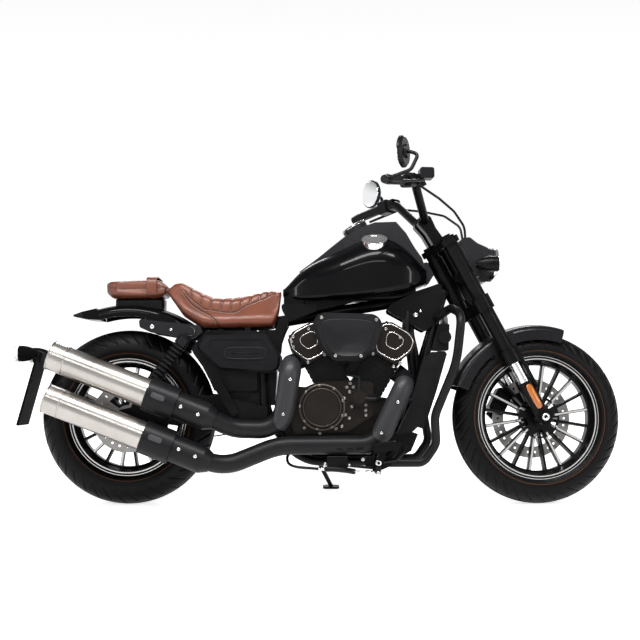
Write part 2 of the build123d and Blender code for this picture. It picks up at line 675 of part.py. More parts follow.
HEAD_HALF = 104
HEAD_LINE = ((-58, BARREL_TOP), (58, BARREL_TOP), (66, 320), (60, HEAD_TOP), (-60, HEAD_TOP), (-66, 320))
HEAD_COVER = ((-46, 247), (46, 247), (78, 318), (70, 358), (40, 376), (-40, 376), (-70, 358), (-78, 318))
with BuildPart() as cylinders:
    for lean in CYLINDER_LEANS:
        with BuildSketch(bank(lean, BARREL_Y - GROOVE)):
            with Locations((0, (DECK + BARREL_TOP) / 2)):
                Rectangle(2 * (BARREL_HALF - GROOVE), BARREL_TOP - DECK)
        extrude(amount=2 * (BARREL_Y - GROOVE))
        fin_pitch = (BARREL_TOP - DECK) / FINS
        with BuildSketch(bank(lean, BARREL_Y)):
            for fin in range(FINS):
                with Locations((0, DECK + (fin + 0.5) * fin_pitch)):
                    Rectangle(2 * BARREL_HALF, fin_pitch - GROOVE)
        extrude(amount=2 * BARREL_Y)
        with BuildSketch(bank(lean, HEAD_HALF)):
            with BuildLine():
                Polyline(*HEAD_LINE, close=True)
            make_face()
        extrude(amount=2 * HEAD_HALF)
write(cylinders.part, "cylinders")

COVER_DEPTH = 26
COVER_ARM = ((600, 300), (600, 368), (744, 380), (744, 284))
COVER_FOOT = ((668, 300), (668, 366), (744, 380), (744, 284))
with BuildPart() as engine_covers:
    for cover in ENGINE_COVERS + LEFT_COVERS:
        add(disc(*cover))
    add(slab(COVER_ARM, CASE_HALF + 14, CASE_HALF + 36, 8))
    add(slab(COVER_FOOT, CASE_HALF, CASE_HALF + 36, 6))
    for lean in CYLINDER_LEANS:
        for y_face in (-HEAD_HALF, HEAD_HALF + COVER_DEPTH):
            with BuildSketch(bank(lean, y_face)):
                with BuildLine():
                    FilletPolyline(*HEAD_COVER, radius=6, close=True)
                make_face()
            extrude(amount=COVER_DEPTH)
write(engine_covers.part, "engine_covers")

FILTER_BACK = -152
FILTER_POSTS = ((716, 650), (924, 640))  # onto the two head covers
INTAKE_LINE = ((792, 482), (862, 482), (902, 600), (905, 684), (744, 692), (748, 600))
BREATHER = ((812, -56, 516), (812, -100, 512), (804, -114, 480), (852, -146, 472), (852, -146, 418))
FILTER_LINE = ((668, 704), (950, 696), (908, 566), (858, 527), (764, 527), (712, 570))
with BuildPart() as air_filter:
    add(slab(FILTER_LINE, -208, FILTER_BACK, 44))
    chamfer(air_filter.faces().sort_by(Axis.Y)[0].edges(), 12)
    add(disc(815, 610, 48, FILTER_BACK, -60))
    for x, z in FILTER_POSTS:
        add(disc(x, z, 6.5, FILTER_BACK, -HEAD_HALF - COVER_DEPTH))
    add(slab(INTAKE_LINE, -60, 60, 4))
    add(tube(BREATHER, 6, 14))
    for piece in (cylinders, engine_covers, frame_spine):
        add(piece.part, mode=Mode.SUBTRACT)
write(air_filter.part, "air_filter")

# ---------------------------------------------------------------- radiator
CORE_HALF = 124
CORE_AHEAD, CORE_DEPTH = -46, 40
SHROUD = ((1093, 543), (1119, 562), (1177, 562), (1136, 418), (1105, 325), (1051, 272), (984, 254), (1038, 361))
REGULATOR = ((1124, 572), (1150, 668), (1192, 668), (1188, 568))
REGULATOR_HALF = 70
HORN = (1172, 618)
COOLANT_HOSE = ((858, -142, 390), (915, -142, 388), (966, -108, 382), (1104, -104, 384))
with BuildPart() as radiator:
    with BuildSketch(DOWNTUBE.offset(-20)):
        with Locations((0, CORE_AHEAD)):
            Rectangle(2 * CORE_HALF, CORE_DEPTH)
    extrude(amount=280)
    for up in (0, 216):
        with BuildSketch(DOWNTUBE.offset(up)):
            with Locations((0, CORE_AHEAD + CORE_DEPTH / 2 + 6)):
                Rectangle(156, 12)
        extrude(amount=24)
    add(both(slab(SHROUD, -CORE_HALF - 6, -CORE_HALF, 8)))
    add(slab(REGULATOR, -REGULATOR_HALF, REGULATOR_HALF, 6))
    add(disc(*HORN, 24, -REGULATOR_HALF - 24, REGULATOR_HALF + 24))
    add(tube(COOLANT_HOSE, 11, 40))
    for piece in (frame_cradles, engine_covers):
        add(piece.part, mode=Mode.SUBTRACT)
write(radiator.part, "radiator")

# ---------------------------------------------------------------- fuel tank and console
TANK = (
    # x, half width, z low, z high, upper radius, lower radius
    (573, 34, 772, 798, 10, 6),
    (640, 84, 757, 864, 50, 16),
    (730, 118, 756, 916, 78, 22),
    (830, 142, 760, 962, 98, 26),
    (930, 150, 770, 990, 106, 28),
    (1010, 142, 784, 962, 92, 28),
    (1065, 118, 800, 912, 60, 24),
    (1106, 84, 816, 868, 26, 14),
)


def tank_body(grow):
    """The tank's outer form, grown outward by grow."""
    with BuildPart() as body:
        for x, half, low, high, r_top, r_low in TANK:
            with BuildSketch(across(x)):
                with BuildLine():
                    FilletPolyline(
                        (-half - grow, low - grow),
                        (half + grow, low - grow),
                        (half + grow, high + grow),
                        (-half - grow, high + grow),
                        radius=(r_low, r_low, r_top, r_top),
                        close=True,
                    )
                make_face()
        loft()
    return body.part


TANK_TAB = ((590, 730), (590, 775), (650, 775), (650, 730))
TANK_TRAY = ((576, 772), (576, 716), (640, 706), (740, 726), (840, 752), (840, 772))
TANK_SADDLE = ((1010, 745), (1010, 800), (1070, 812), (1070, 755))
with BuildPart() as fuel_tank:
    add(tank_body(0))
    add(both(slab(TANK_TAB, -PANEL_Y - PANEL_SHEET, -PANEL_Y)))
    add(slab(TANK_TRAY, -PANEL_Y + 4, PANEL_Y - 4, 4))
    add(slab(TANK_SADDLE, -40, 40, 6))
    add(frame_spine.part, mode=Mode.SUBTRACT)
write(fuel_tank.part, "fuel_tank")
tank_room = tank_body(SEAT_GAP)

GAUGE_R = 48
GAUGE_DEPTH = 34
gauge_face = Plane(origin=(838, 0, 1040), x_dir=(0, 1, 0), z_dir=(-0.5, 0, 0.866))
CONSOLE_LINE = (
    (633, 866), (700, 914), (756, 958), (800, 992), (866, 1030), (916, 1048), (995, 1050), (1032, 1007),
    (1064, 951), (1090, 914), (1104, 872), (1060, 860), (900, 900), (640, 850),
)
CONSOLE_PLAN = (
    (625, -10), (625, 10), (720, 34), (800, 54), (990, 60), (1112, 78), (1112, -78), (990, -60), (800, -54), (720, -34),
)
COIL_COVER = ((1077, 888), (1111, 900), (1137, 852), (1112, 812), (1085, 840))  # ahead of the tank
with BuildPart() as tank_console:
    add(slab(CONSOLE_LINE, -80, 80, 6))
    with BuildSketch(Plane.XY.offset(1100)):
        with BuildLine():
            FilletPolyline(*CONSOLE_PLAN, radius=4, close=True)
        make_face()
    extrude(amount=-300, mode=Mode.INTERSECT)
    add(slab(COIL_COVER, -56, 56, 6))
    add(tank_room, mode=Mode.SUBTRACT)
    with BuildSketch(gauge_face.offset(-GAUGE_DEPTH)):
        Circle(GAUGE_R + SEAT_GAP)
    extrude(amount=3 * GAUGE_DEPTH, mode=Mode.SUBTRACT)
    with BuildSketch(gauge_face.offset(-GAUGE_DEPTH)):
        Circle(GAUGE_R)
    extrude(amount=GAUGE_DEPTH)
    with BuildSketch(gauge_face):
        Circle(GAUGE_R - 6)
    extrude(amount=-3, mode=Mode.SUBTRACT)
write(tank_console.part, "tank_console")

CAP_R = 47
cap_face = Plane(origin=(912, -103, 970), x_dir=(1, 0, 0), z_dir=(-0.05, -0.5, 0.86))
with BuildPart() as fuel_cap:
    with BuildSketch(cap_face.offset(-30)):
        Circle(CAP_R - 3)
    extrude(amount=34)
    with BuildSketch(cap_face):
        Circle(CAP_R)
    extrude(amount=10)
    add(tank_room, mode=Mode.SUBTRACT)
write(fuel_cap.part, "fuel_cap")

# ---------------------------------------------------------------- exhaust
COLLAR_R = 61
EXHAUSTS = (
    # name, silencer front x, z, then the pipe's corners (x, y, z, bend) up to the port
    (
        "rear",
        (306, 328),
        ((402, -200, 284, 150), (566, -184, 280, 90), (604, -182, 518, 60), (604, -62, 520, 36), (648, -62, 539, 0)),
    ),
    (
        "front",
        (292, 176),
        ((372, -210, 150, 150), (560, -190, 224, 260), (912, -184, 226, 90), (1018, -176, 452, 60), (1018, -60, 470, 36), (990, -60, 490, 0)),
    ),
)
CAN_LENGTH = 372
COLLAR_LENGTH = 112
SLEEVE_LENGTH = 116
CONE_LENGTH, CONE_TAPER = 32, 27  # the sleeve narrows onto its pipe
run = Vector(-cos(radians(CAN_SLOPE)), 0, sin(radians(CAN_SLOPE)))
cans = []
exhaust_bodies = []
header_paths = []
for name, (front_x, front_z), corners in EXHAUSTS:
    front = Vector(front_x, CAN_Y, front_z)
    axis_plane = Plane(origin=tuple(front), x_dir=(0, 1, 0), z_dir=tuple(run))
    path = [tuple(front)] + [corner[:3] for corner in corners]
    bends = [corner[3] for corner in corners[:-1]]
    with BuildPart() as exhaust:
        add(tube(path, PIPE_R, bends))
        add(cylinders.part, mode=Mode.SUBTRACT)
        with BuildSketch(axis_plane):
            Circle(CAN_R - 2)
        extrude(amount=SLEEVE_LENGTH)
        with BuildSketch(Plane(origin=tuple(front), x_dir=(0, 1, 0), z_dir=tuple(-run))):
            Circle(CAN_R - 2)
        extrude(amount=CONE_LENGTH, taper=CONE_TAPER)
        with BuildSketch(axis_plane.offset(SLEEVE_LENGTH)):
            Circle(COLLAR_R)
        extrude(amount=COLLAR_LENGTH)
    write(exhaust.part, f"exhaust_{name}")
    exhaust_bodies.append(exhaust.part)
    header_paths.append((path, bends))
    cans.append(axis_plane.offset(SLEEVE_LENGTH + COLLAR_LENGTH))
with BuildPart() as silencers:
    for can in cans:
        with BuildSketch(can):
            Circle(CAN_R)
        extrude(amount=CAN_LENGTH)
        with BuildSketch(can.offset(CAN_LENGTH)):
            Circle(CAN_R - 12)
        extrude(amount=-60, mode=Mode.SUBTRACT)
write(silencers.part, "silencers")

# ---------------------------------------------------------------- steering: yokes, legs, axle
YOKE_LOW = (444, 484)
YOKE_TOP = (722, 744)
COLLAR_TOP = 500
LEG_BOTTOM, LEG_TOP = 232, 752
CASTING_TOP = 146


def on_fork(up):
    """A plane square to the steering axis: local x is ahead, local y is to the left."""
    return FORK.offset(up)


with BuildPart() as yokes:
    for (low, high), leg_ring, stem_ring in ((YOKE_LOW, 37, 30), (YOKE_TOP, 39, 34)):
        with BuildSketch(on_fork(low)):
            with Locations((FORK_OFFSET, -LEG_Y), (FORK_OFFSET, LEG_Y)):
                Circle(leg_ring)
            Circle(stem_ring)
            make_hull()
        extrude(amount=high - low)
    with BuildSketch(on_fork(YOKE_LOW[1])):
        with Locations((FORK_OFFSET, -LEG_Y), (FORK_OFFSET, LEG_Y)):
            Circle(37)
    extrude(amount=COLLAR_TOP - YOKE_LOW[1])
    for low, high, radius in (
        (YOKE_LOW[0] - 6, YOKE_TOP[1] + 4, STEM_R),
        (YOKE_LOW[1], HEAD_LOW - SEAT_GAP, 24),
        (HEAD_HIGH + SEAT_GAP, YOKE_TOP[0], 24),
        (YOKE_TOP[1], YOKE_TOP[1] + 10, 20),
    ):
        with BuildSketch(on_fork(low)):
            Circle(radius)
        extrude(amount=high - low)
    with BuildSketch(on_fork(LEG_BOTTOM)):
        with Locations((FORK_OFFSET, -LEG_Y), (FORK_OFFSET, LEG_Y)):
            Circle(LEG_R)
    extrude(amount=LEG_TOP - LEG_BOTTOM)
    with BuildSketch(on_fork(LEG_TOP)):
        with Locations((FORK_OFFSET, -LEG_Y), (FORK_OFFSET, LEG_Y)):
            RegularPolygon(17, 6)
    extrude(amount=8)
write(yokes.part, "fork_yokes", TURNED)

with BuildPart() as fork_sliders:
    with BuildSketch(on_fork(CASTING_TOP)):
        with Locations((FORK_OFFSET, -LEG_Y)):
            Circle(SLIDER_R)
    extrude(amount=LEG_BOTTOM - CASTING_TOP)
    mirror(about=Plane.XZ)
write(fork_sliders.part, "fork_sliders", TURNED)

CASTING_IN, CASTING_OUT = 82, 127
REFLECTOR = (40, 130)
RING_LOW, RING_HIGH = 226, 280
with BuildPart() as fork_bottoms:
    with BuildSketch(on_fork(-6)):
        with Locations((FORK_OFFSET, -LEG_Y)):
            RectangleRounded(50, CASTING_OUT - CASTING_IN - 2, 14)
    extrude(amount=CASTING_TOP + 6)
    add(disc(WHEELBASE, FRONT_TYRE_R, 29, -CASTING_OUT, -CASTING_IN))
    with BuildSketch(on_fork(RING_LOW)):
        with Locations((FORK_OFFSET, -LEG_Y)):
            Circle(37)
    extrude(amount=RING_HIGH - RING_LOW)
    with BuildSketch(on_fork(CASTING_TOP - 40)):
        with Locations((FORK_OFFSET + 30, -LEG_Y)):
            RectangleRounded(12, 40, 4)
    extrude(amount=RING_HIGH - CASTING_TOP + 40)
    with BuildSketch(on_fork(LEG_BOTTOM)):
        with Locations((FORK_OFFSET, -LEG_Y)):
            Circle(LEG_R + SEAT_GAP)
    extrude(amount=LEG_TOP - LEG_BOTTOM, mode=Mode.SUBTRACT)
    with BuildSketch(on_fork(CASTING_TOP)):
        with Locations((FORK_OFFSET, -LEG_Y)):
            Circle(SLIDER_R + SEAT_GAP)
    extrude(amount=LEG_BOTTOM - CASTING_TOP, mode=Mode.SUBTRACT)
    mirror(about=Plane.XZ)

reflector_face = Plane(
    origin=fork_point(FORK_OFFSET, -CASTING_OUT + 1, sum(REFLECTOR) / 2), x_dir=FORK.z_dir, z_dir=(0, -1, 0)
)
with BuildPart() as reflectors:
    with BuildSketch(reflector_face):
        SlotOverall(REFLECTOR[1] - REFLECTOR[0], 22)
    extrude(amount=4)
    mirror(about=Plane.XZ)

FRONT_NUT = 12
with BuildPart() as front_axle:
    add(disc(WHEELBASE, FRONT_TYRE_R, AXLE_ROD_R, -CASTING_OUT - FRONT_NUT, CASTING_OUT + FRONT_NUT))
    for y_from, y_to, radius in (
        (-CASTING_OUT - FRONT_NUT + 2, -CASTING_OUT, 16),
        (CASTING_OUT, CASTING_OUT + FRONT_NUT - 2, 16),
        (-CASTING_IN, -52 - RUNNING, 15),
        (FRONT_DISC_Y + DISC_THICK + RUNNING, CASTING_IN, 15),
    ):
        add(disc(WHEELBASE, FRONT_TYRE_R, radius, y_from, y_to))

CALIPER_ANGLE = 152
CALIPER_Y = (46, 96)
caliper_plane = Plane(
    origin=(WHEELBASE, CALIPER_Y[0], FRONT_TYRE_R),
    x_dir=(cos(radians(CALIPER_ANGLE)), 0, sin(radians(CALIPER_ANGLE))),
    z_dir=(0, 1, 0),
)
with BuildPart() as caliper:
    with BuildSketch(caliper_plane):
        with Locations((136, 0)):
            RectangleRounded(62, 96, 14)
    extrude(amount=CALIPER_Y[1] - CALIPER_Y[0])
    with BuildSketch(caliper_plane.offset(CALIPER_Y[1] - CALIPER_Y[0] - 12)):
        with BuildLine():
            Polyline((110, 20), (156, 40), (156, -64), (100, -80), close=True)
        make_face()
    extrude(amount=12)
    add(disc(WHEELBASE, FRONT_TYRE_R, 150 + RUNNING, FRONT_DISC_Y - RUNNING, FRONT_DISC_Y + DISC_THICK + RUNNING),
        mode=Mode.SUBTRACT)
with BuildPart() as fork_castings:
    for piece in (fork_bottoms, reflectors, front_axle, caliper):
        add(piece.part)
write(fork_castings.part, "fork_bottoms", TURNED)

GUARD_R = 349
GUARD_HALF = 72
GUARD_EDGE = 288
FENDER_EAR = (
    (WHEELBASE - 190, 586), (WHEELBASE - 100, 640), (WHEELBASE - 84, 566), (WHEELBASE - 100, 540),
    (WHEELBASE - 160, 520),
)
with BuildPart() as front_fender:
    with BuildSketch(wheel_plane(WHEELBASE, FRONT_TYRE_R, 73)):
        add(fender_section(GUARD_HALF, GUARD_EDGE, GUARD_R, SHEET))
    revolve(axis=Axis((WHEELBASE, 0, FRONT_TYRE_R), (0, -1, 0)), revolution_arc=87)
    add(both(slab(FENDER_EAR, -GUARD_HALF - 4, -GUARD_HALF, 8)))
    add(fork_bottoms.part, mode=Mode.SUBTRACT)
write(front_fender.part, "front_fender", TURNED)

# ---------------------------------------------------------------- steering: lamp, signals
LAMP = (1371, 893)
LAMP_R = 65
LAMP_TILT = 9
lamp_face = Plane(
    origin=(LAMP[0], 0, LAMP[1]), x_dir=(0, 1, 0), z_dir=(cos(radians(LAMP_TILT)), 0, -sin(radians(LAMP_TILT)))
)
LAMP_EAR = ((1238, 838), (1238, 870), (1300, 870), (1300, 838))
NACELLE = ((1228, 986), (1266, 990), (1294, 968), (1336, 950), (1338, 826), (1312, 820), (1284, 846), (1250, 918))
with BuildPart() as headlamp:
    add(slab(NACELLE, -70, 70, 12))
    add(both(slab(LAMP_EAR, -LEG_Y + 12, -69, 6)))
    add(yokes.part, mode=Mode.SUBTRACT)
    with BuildSketch(lamp_face):
        Circle(LAMP_R)
    extrude(amount=-76, taper=2)
    with BuildSketch(lamp_face):
        Circle(LAMP_R - 5)
    extrude(amount=-8, mode=Mode.SUBTRACT)
write(headlamp.part, "headlamp", TURNED)
with BuildPart() as headlamp_lens:
    with BuildSketch(lamp_face.offset(-8)):
        Circle(LAMP_R - 5 - SEAT_GAP)
    extrude(amount=10)
    fillet(headlamp_lens.faces().sort_by(Axis.X)[-1].edges(), 4)
write(headlamp_lens.part, "headlamp_lens", TURNED)

SIGNAL_R = 29
FRONT_SIGNAL = (1356, 880)
SIGNAL_Y = 138


def signal_pod(x, y, z, facing):
    """A bullet lamp: a flat lens facing forward (1) or back (-1) and a body tapering away behind it."""
    with BuildPart() as pod:
        with BuildSketch(side(x, z, y)):
            with BuildLine():
                Polyline((0, 0), (0, SIGNAL_R - 3), (-facing * 6, SIGNAL_R), (-facing * 30, SIGNAL_R))
                ThreePointArc(
                    (-facing * 30, SIGNAL_R), (-facing * 64, SIGNAL_R * 0.72), (-facing * 86, 9)
                )
                Polyline((-facing * 86, 9), (-facing * 86, 0), (0, 0))
            make_face()
        revolve(axis=Axis((x, y, z), (1, 0, 0)))
    return pod.part


with BuildPart() as front_signals:
    add(signal_pod(FRONT_SIGNAL[0], -SIGNAL_Y, FRONT_SIGNAL[1], 1))
    add(disc(FRONT_SIGNAL[0] - 62, FRONT_SIGNAL[1], 8, -SIGNAL_Y, -70))
    mirror(about=Plane.XZ)
write(front_signals.part, "front_signals", TURNED)

# ---------------------------------------------------------------- steering: bar, controls, mirrors
BAR_R = 16
GRIP_R = 18.5
BAR_POINTS = ((1097, 1052, 62), (1030, 1170, 215), (907, 1137, 372))
right_bar = [(x, -y, z) for x, z, y in BAR_POINTS]
left_bar = [(x, y, z) for x, z, y in BAR_POINTS]
with BuildPart() as handlebar:
    add(tube(right_bar[::-1] + left_bar, BAR_R, (80, 60, 60, 80)))
    for y in (-38, 38):
        add(slab(((1136, 950), (1176, 976), (1140, 1026), (1120, 1070), (1084, 1076), (1072, 1040), (1104, 1004)), y - 17, y + 17, 10))
    add(yokes.part, mode=Mode.SUBTRACT)
write(handlebar.part, "handlebar", TURNED)

GRIP_LENGTH = 125
bar_run = Vector(*left_bar[2]) - Vector(*left_bar[1])
bar_out = bar_run.normalized()
bar_end = Plane(origin=left_bar[2], x_dir=(bar_out.Y, -bar_out.X, 0), z_dir=tuple(bar_out))
# on the left grip's end: local x is forward, local y is down, local z is outward along the bar
HOUSING = (-170, -129)
PERCH = (-202, -176)
BAR_CONTROLS = (
    # z from, z to, width, height, corner radius, x, y of the middle
    (*HOUSING, 48, 54, 12, 2, 0),
    (*PERCH, 52, 40, 8, 10, 0),
)
with BuildPart() as hand_controls:
    with BuildSketch(bar_end.offset(-GRIP_LENGTH)):
        Circle(GRIP_R)
    extrude(amount=GRIP_LENGTH)
    for low, high, width, height, corner, x, y in BAR_CONTROLS:
        with BuildSketch(bar_end.offset(low)):
            with Locations((x, y)):
                RectangleRounded(width, height, corner)
        extrude(amount=high - low)
    with BuildSketch(bar_end.offset(PERCH[0] - 30)):
        Circle(BAR_R + SEAT_GAP / 3)
    extrude(amount=-PERCH[0] + 30, mode=Mode.SUBTRACT)
    with BuildSketch(bar_end):
        Circle(BAR_R + 1)
    extrude(amount=12)
    lever = [tuple(bar_end.from_local_coords(Vector(*p))) for p in ((34, 6, -188), (62, 8, -160), (52, 12, -14))]
    add(tube(lever, 5, 24))
    mirror(about=Plane.XZ)
    with BuildSketch(side(1070, 1190, -214)):
        RectangleRounded(52, 40, 9)
    extrude(amount=44)
    add(tube([(1050, -238, 1172), (1064, -236, 1146)], 9))
    add(handlebar.part, mode=Mode.SUBTRACT)
write(hand_controls.part, "hand_controls", TURNED)

MIRROR_R = 57
mirror_glass = Plane(origin=(958, 366, 1238), x_dir=(0, 0, 1), z_dir=(-0.886, -0.463, 0))
with BuildPart() as mirrors:
    with BuildSketch(mirror_glass):
        Circle(MIRROR_R - 4)
    extrude(amount=1)
    with BuildSketch(mirror_glass):
        Circle(MIRROR_R)
    extrude(amount=-8)
    with BuildSketch(mirror_glass.offset(-8)):
        Circle(MIRROR_R)
    extrude(amount=-8, taper=45)
    with BuildSketch(mirror_glass.offset(-16)):
        Circle(26)
    extrude(amount=-8, taper=20)
    arm_foot = tuple(bar_end.from_local_coords(Vector(0, 0, 16)))
    back = mirror_glass.from_local_coords(Vector(0, 0, -22))
    add(tube([arm_foot, (986, 392, 1168), (1013, 390, 1224), tuple(back)], 6.5, (30, 14)))
    with BuildSketch(bar_end.offset(12)):
        Circle(15)
    extrude(amount=14)
    mirror(about=Plane.XZ)
    add(hand_controls.part, mode=Mode.SUBTRACT)
    add(handlebar.part, mode=Mode.SUBTRACT)
write(mirrors.part, "mirrors", TURNED)

CABLE_R = 4.5
CABLES = (
    # from a perch, forward and down to the lamp's nacelle
    ((1038, -236, 1152), (1134, -150, 1118), (1206, -74, 1086), (1256, -26, 1036), (1262, -14, 970)),
    ((1038, 236, 1152), (1130, 156, 1128), (1202, 84, 1098), (1254, 36, 1046), (1262, 22, 970)),
)
with BuildPart() as cables:
    for points in CABLES:
        add(tube(list(points), CABLE_R, (60, 70, 50)))
    for piece in (hand_controls, handlebar, headlamp):
        add(piece.part, mode=Mode.SUBTRACT)
write(cables.part, "cables", TURNED)

# ---------------------------------------------------------------- engine guard
GUARD_TUBE_R = 16
GUARD_LOW_Y = CRADLE_Y + FRAME_R + GUARD_TUBE_R + 1
GUARD_PATH = (
    # x, y, z, bend radius at the corner
    (1146, PANEL_Y + PANEL_SHEET, 692, 0),
    (1146, 96, 692, 24),
    (1188, 150, 722, 50),
    (1212, 282, 692, 60),
    (1192, 284, 520, 240),
    (1120, 214, 330, 110),
    (1132, GUARD_LOW_Y, 226, 50),
    (1085, GUARD_LOW_Y, 160, 40),
    (930, GUARD_LOW_Y, 160, 0),
)
with BuildPart() as engine_guard:
    add(tube([row[:3] for row in GUARD_PATH], GUARD_TUBE_R, [row[3] for row in GUARD_PATH[1:-1]]))
    add(slab(((940, 150), (940, 172), (966, 172), (966, 150)), CRADLE_Y + 8, GUARD_LOW_Y - 8, 4))
    mirror(about=Plane.XZ)
    add(frame_cradles.part, mode=Mode.SUBTRACT)
write(engine_guard.part, "engine_guard")

# ---------------------------------------------------------------- heat shields
SHIELDS = (
    # which header, outer radius, the outline's two ends (x, z) in side view, and the furthest left it reaches
    (0, 42, (586, 318), (606, 522), CAN_Y + 62),
    (1, 39, (938, 276), (1014, 436), CAN_Y + 66),
)
with BuildPart() as heat_shields:
    for which, shield_r, low, high, y_left in SHIELDS:
        start, end = Vector(*low), Vector(*high)
        middle = (start + end) / 2
        path, bends = header_paths[which]
        shell = tube(path, shield_r, bends) - tube(path, PIPE_R + SEAT_GAP, bends)
        with BuildPart(mode=Mode.PRIVATE) as window:
            with BuildSketch(side(y=y_left)):
                with Locations(Location((middle.X, middle.Y), degrees(atan2(end.Y - start.Y, end.X - start.X)))):
                    SlotOverall((end - start).length + 2 * shield_r, 2 * shield_r - 1)
            extrude(amount=4 * shield_r)
        add(shell & window.part)
write(heat_shields.part, "heat_shields")

# ---------------------------------------------------------------- foot controls
PEG = (938, 224)
PEG_TILT = 9
PIVOT_PEDAL = (917, 165)
PLATE_Y = GUARD_LOW_Y + GUARD_TUBE_R
with BuildPart() as foot_controls:
    add(slab(((872, 146), (872, 184), (958, 182), (972, 152), (930, 134)), -PLATE_Y - 8, -PLATE_Y - SEAT_GAP, 8))
    add(disc(*PIVOT_PEDAL, 13, -240, -PLATE_Y - 8))
    add(slab(((904, 156), (932, 156), (954, 232), (926, 232)), -248, -240, 6))
    with BuildSketch(side(*PEG, -248)):
        with Locations(Location((0, 0), PEG_TILT)):
            RectangleRounded(84, 30, 7)
    extrude(amount=92)
    add(tube([(917, -206, 165), (985, -216, 176), (1012, -232, 208)], 7, 20))
    add(disc(1014, 212, 11, -268, -222))
    mirror(about=Plane.XZ)
    add(slab(((735, 142), (735, 184), (809, 184), (809, 142)), -200, -172, 6))
    add(disc(772, 163, 10, -172, -CRADLE_Y))
    add(tube([(806, -186, 152), (906, -186, 142)], 5))
    add(slab(((902, 168), (932, 168), (914, 130), (898, 130)), -196, -182, 5))
    add(frame_cradles.part, mode=Mode.SUBTRACT)
    add(engine_guard.part, mode=Mode.SUBTRACT)
write(foot_controls.part, "foot_controls")

HANGER_Y = (138, 146)
with BuildPart() as pillion_rests:
    add(slab(((518, 306), (518, 362), (340, 402), (128, 410), (128, 376), (340, 326)), -HANGER_Y[1], -HANGER_Y[0], 10))
    add(slab(((392, 326), (418, 342), (346, 472), (312, 454)), -176, -HANGER_Y[1] - 3, 6))
    add(disc(398, 346, 12, -HANGER_Y[1] - 3, -HANGER_Y[1]))
    add(disc(506, 336, 12, -HANGER_Y[0], -CRADLE_Y))
    mirror(about=Plane.XZ)
    add(slab(((174, 400), (134, 400), (112, 226), (148, 226)), -HANGER_Y[1], -HANGER_Y[0], 8))
    for x, z in ((150, 391), (132, 246)):
        add(disc(x, z, 12, CAN_Y + 30, -HANGER_Y[1]))
    for exhaust_body in exhaust_bodies:
        add(exhaust_body, mode=Mode.SUBTRACT)
    add(frame_cradles.part, mode=Mode.SUBTRACT)
write(pillion_rests.part, "pillion_rests")

# ---------------------------------------------------------------- number plate and rear lamps
REAR_SIGNAL = (-404, 556)
PLATE_BRACKET = ((-335, 537), (-350, 574), (-322, 560), (-330, 520))
PLATE_LINE = ((-338, 540), (-332, 536), (-398, 292), (-405, 296))
with BuildPart() as plate_holder:
    add(tube([(-33, 147, 323), (-220, 150, 400), (-352, 112, 556), (-352, -120, 556)], 10, (80, 50)))
    add(disc(-33, 323, 12, ARM_OUT, 147))
    add(slab(PLATE_LINE, -90, 90))
    add(slab(PLATE_BRACKET, -40, 40, 2))
    for y in (-120, 120):
        add(signal_pod(REAR_SIGNAL[0], y, REAR_SIGNAL[1], -1))
    add(disc(-352, 556, 9, -120, 120))
write(plate_holder.part, "plate_holder")

# ---------------------------------------------------------------- side stand
PAD_THICK = 8
leg_unit = Vector(cos(radians(STAND_FORWARD)), -sin(radians(STAND_FORWARD)), 0)


def height(point):
    """Height above the floor of a point of the upright machine, once it leans."""
    return (STANDING * Pos(*point)).position.Z


one_along = tuple(STAND.from_local_coords(leg_unit))
leg_length = (height(STAND_PIVOT) - PAD_THICK) / (height(STAND_PIVOT) - height(one_along))
leg_end = tuple(STAND.from_local_coords(leg_unit * leg_length))
foot_floor = (STANDING * Pos(*leg_end)).position
pad_plane = Plane(STANDING.inverse() * Location((foot_floor.X, foot_floor.Y, 0)))
with BuildPart() as side_stand:
    with BuildSketch(STAND.offset(-STAND_HALF)):
        Circle(STAND_RING)
    extrude(amount=2 * STAND_HALF)
    add(tube([tuple(STAND.from_local_coords(leg_unit * 8)), leg_end], STAND_BAR_R))
    with BuildSketch(pad_plane):
        RectangleRounded(64, 44, 14)
    extrude(amount=PAD_THICK)
    with BuildSketch(STAND.offset(-STAND_HALF)):
        Circle(STAND_PIN_R + FIT)
    extrude(amount=2 * STAND_HALF, mode=Mode.SUBTRACT)
write(side_stand.part, "side_stand")
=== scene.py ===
from math import cos, pi, radians, sin, tau

import bmesh
import bpy
import numpy as np
from mathutils import Matrix, Vector
from mathutils.bvhtree import BVHTree


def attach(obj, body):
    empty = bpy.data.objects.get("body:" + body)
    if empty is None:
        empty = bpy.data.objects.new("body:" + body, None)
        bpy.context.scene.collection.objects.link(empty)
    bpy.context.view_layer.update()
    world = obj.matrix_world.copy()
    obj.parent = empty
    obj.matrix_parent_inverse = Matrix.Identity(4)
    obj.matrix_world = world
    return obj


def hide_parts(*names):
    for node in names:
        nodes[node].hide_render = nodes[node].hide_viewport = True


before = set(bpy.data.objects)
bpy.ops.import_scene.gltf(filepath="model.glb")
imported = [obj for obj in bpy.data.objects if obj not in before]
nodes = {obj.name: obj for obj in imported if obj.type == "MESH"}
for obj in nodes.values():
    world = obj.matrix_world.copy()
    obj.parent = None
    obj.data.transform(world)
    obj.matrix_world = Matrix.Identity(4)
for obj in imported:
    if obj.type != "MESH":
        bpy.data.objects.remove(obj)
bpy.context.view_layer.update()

# ---------------- how the machine stands
# Every size below is in millimetres on the upright machine: x ahead of the rear axle, y to its
# left, z above the floor. The machine leans on its side stand, its steering turned a little.
LEAN, PITCH, STEERED = radians(8.0), radians(0.0466), radians(6.4)
FLOOR_SHIFT = np.array([-717.0, -136.0, 0.73])
FORK_FOOT = np.array([1473.438, 0.0, 292.179])
FORK_AHEAD = np.array([0.8829476, 0.0, 0.4694716])
FORK_UP = np.array([-0.4694716, 0.0, 0.8829476])
FRONT, LEFT, UP = np.eye(3)
RIGHT = -LEFT
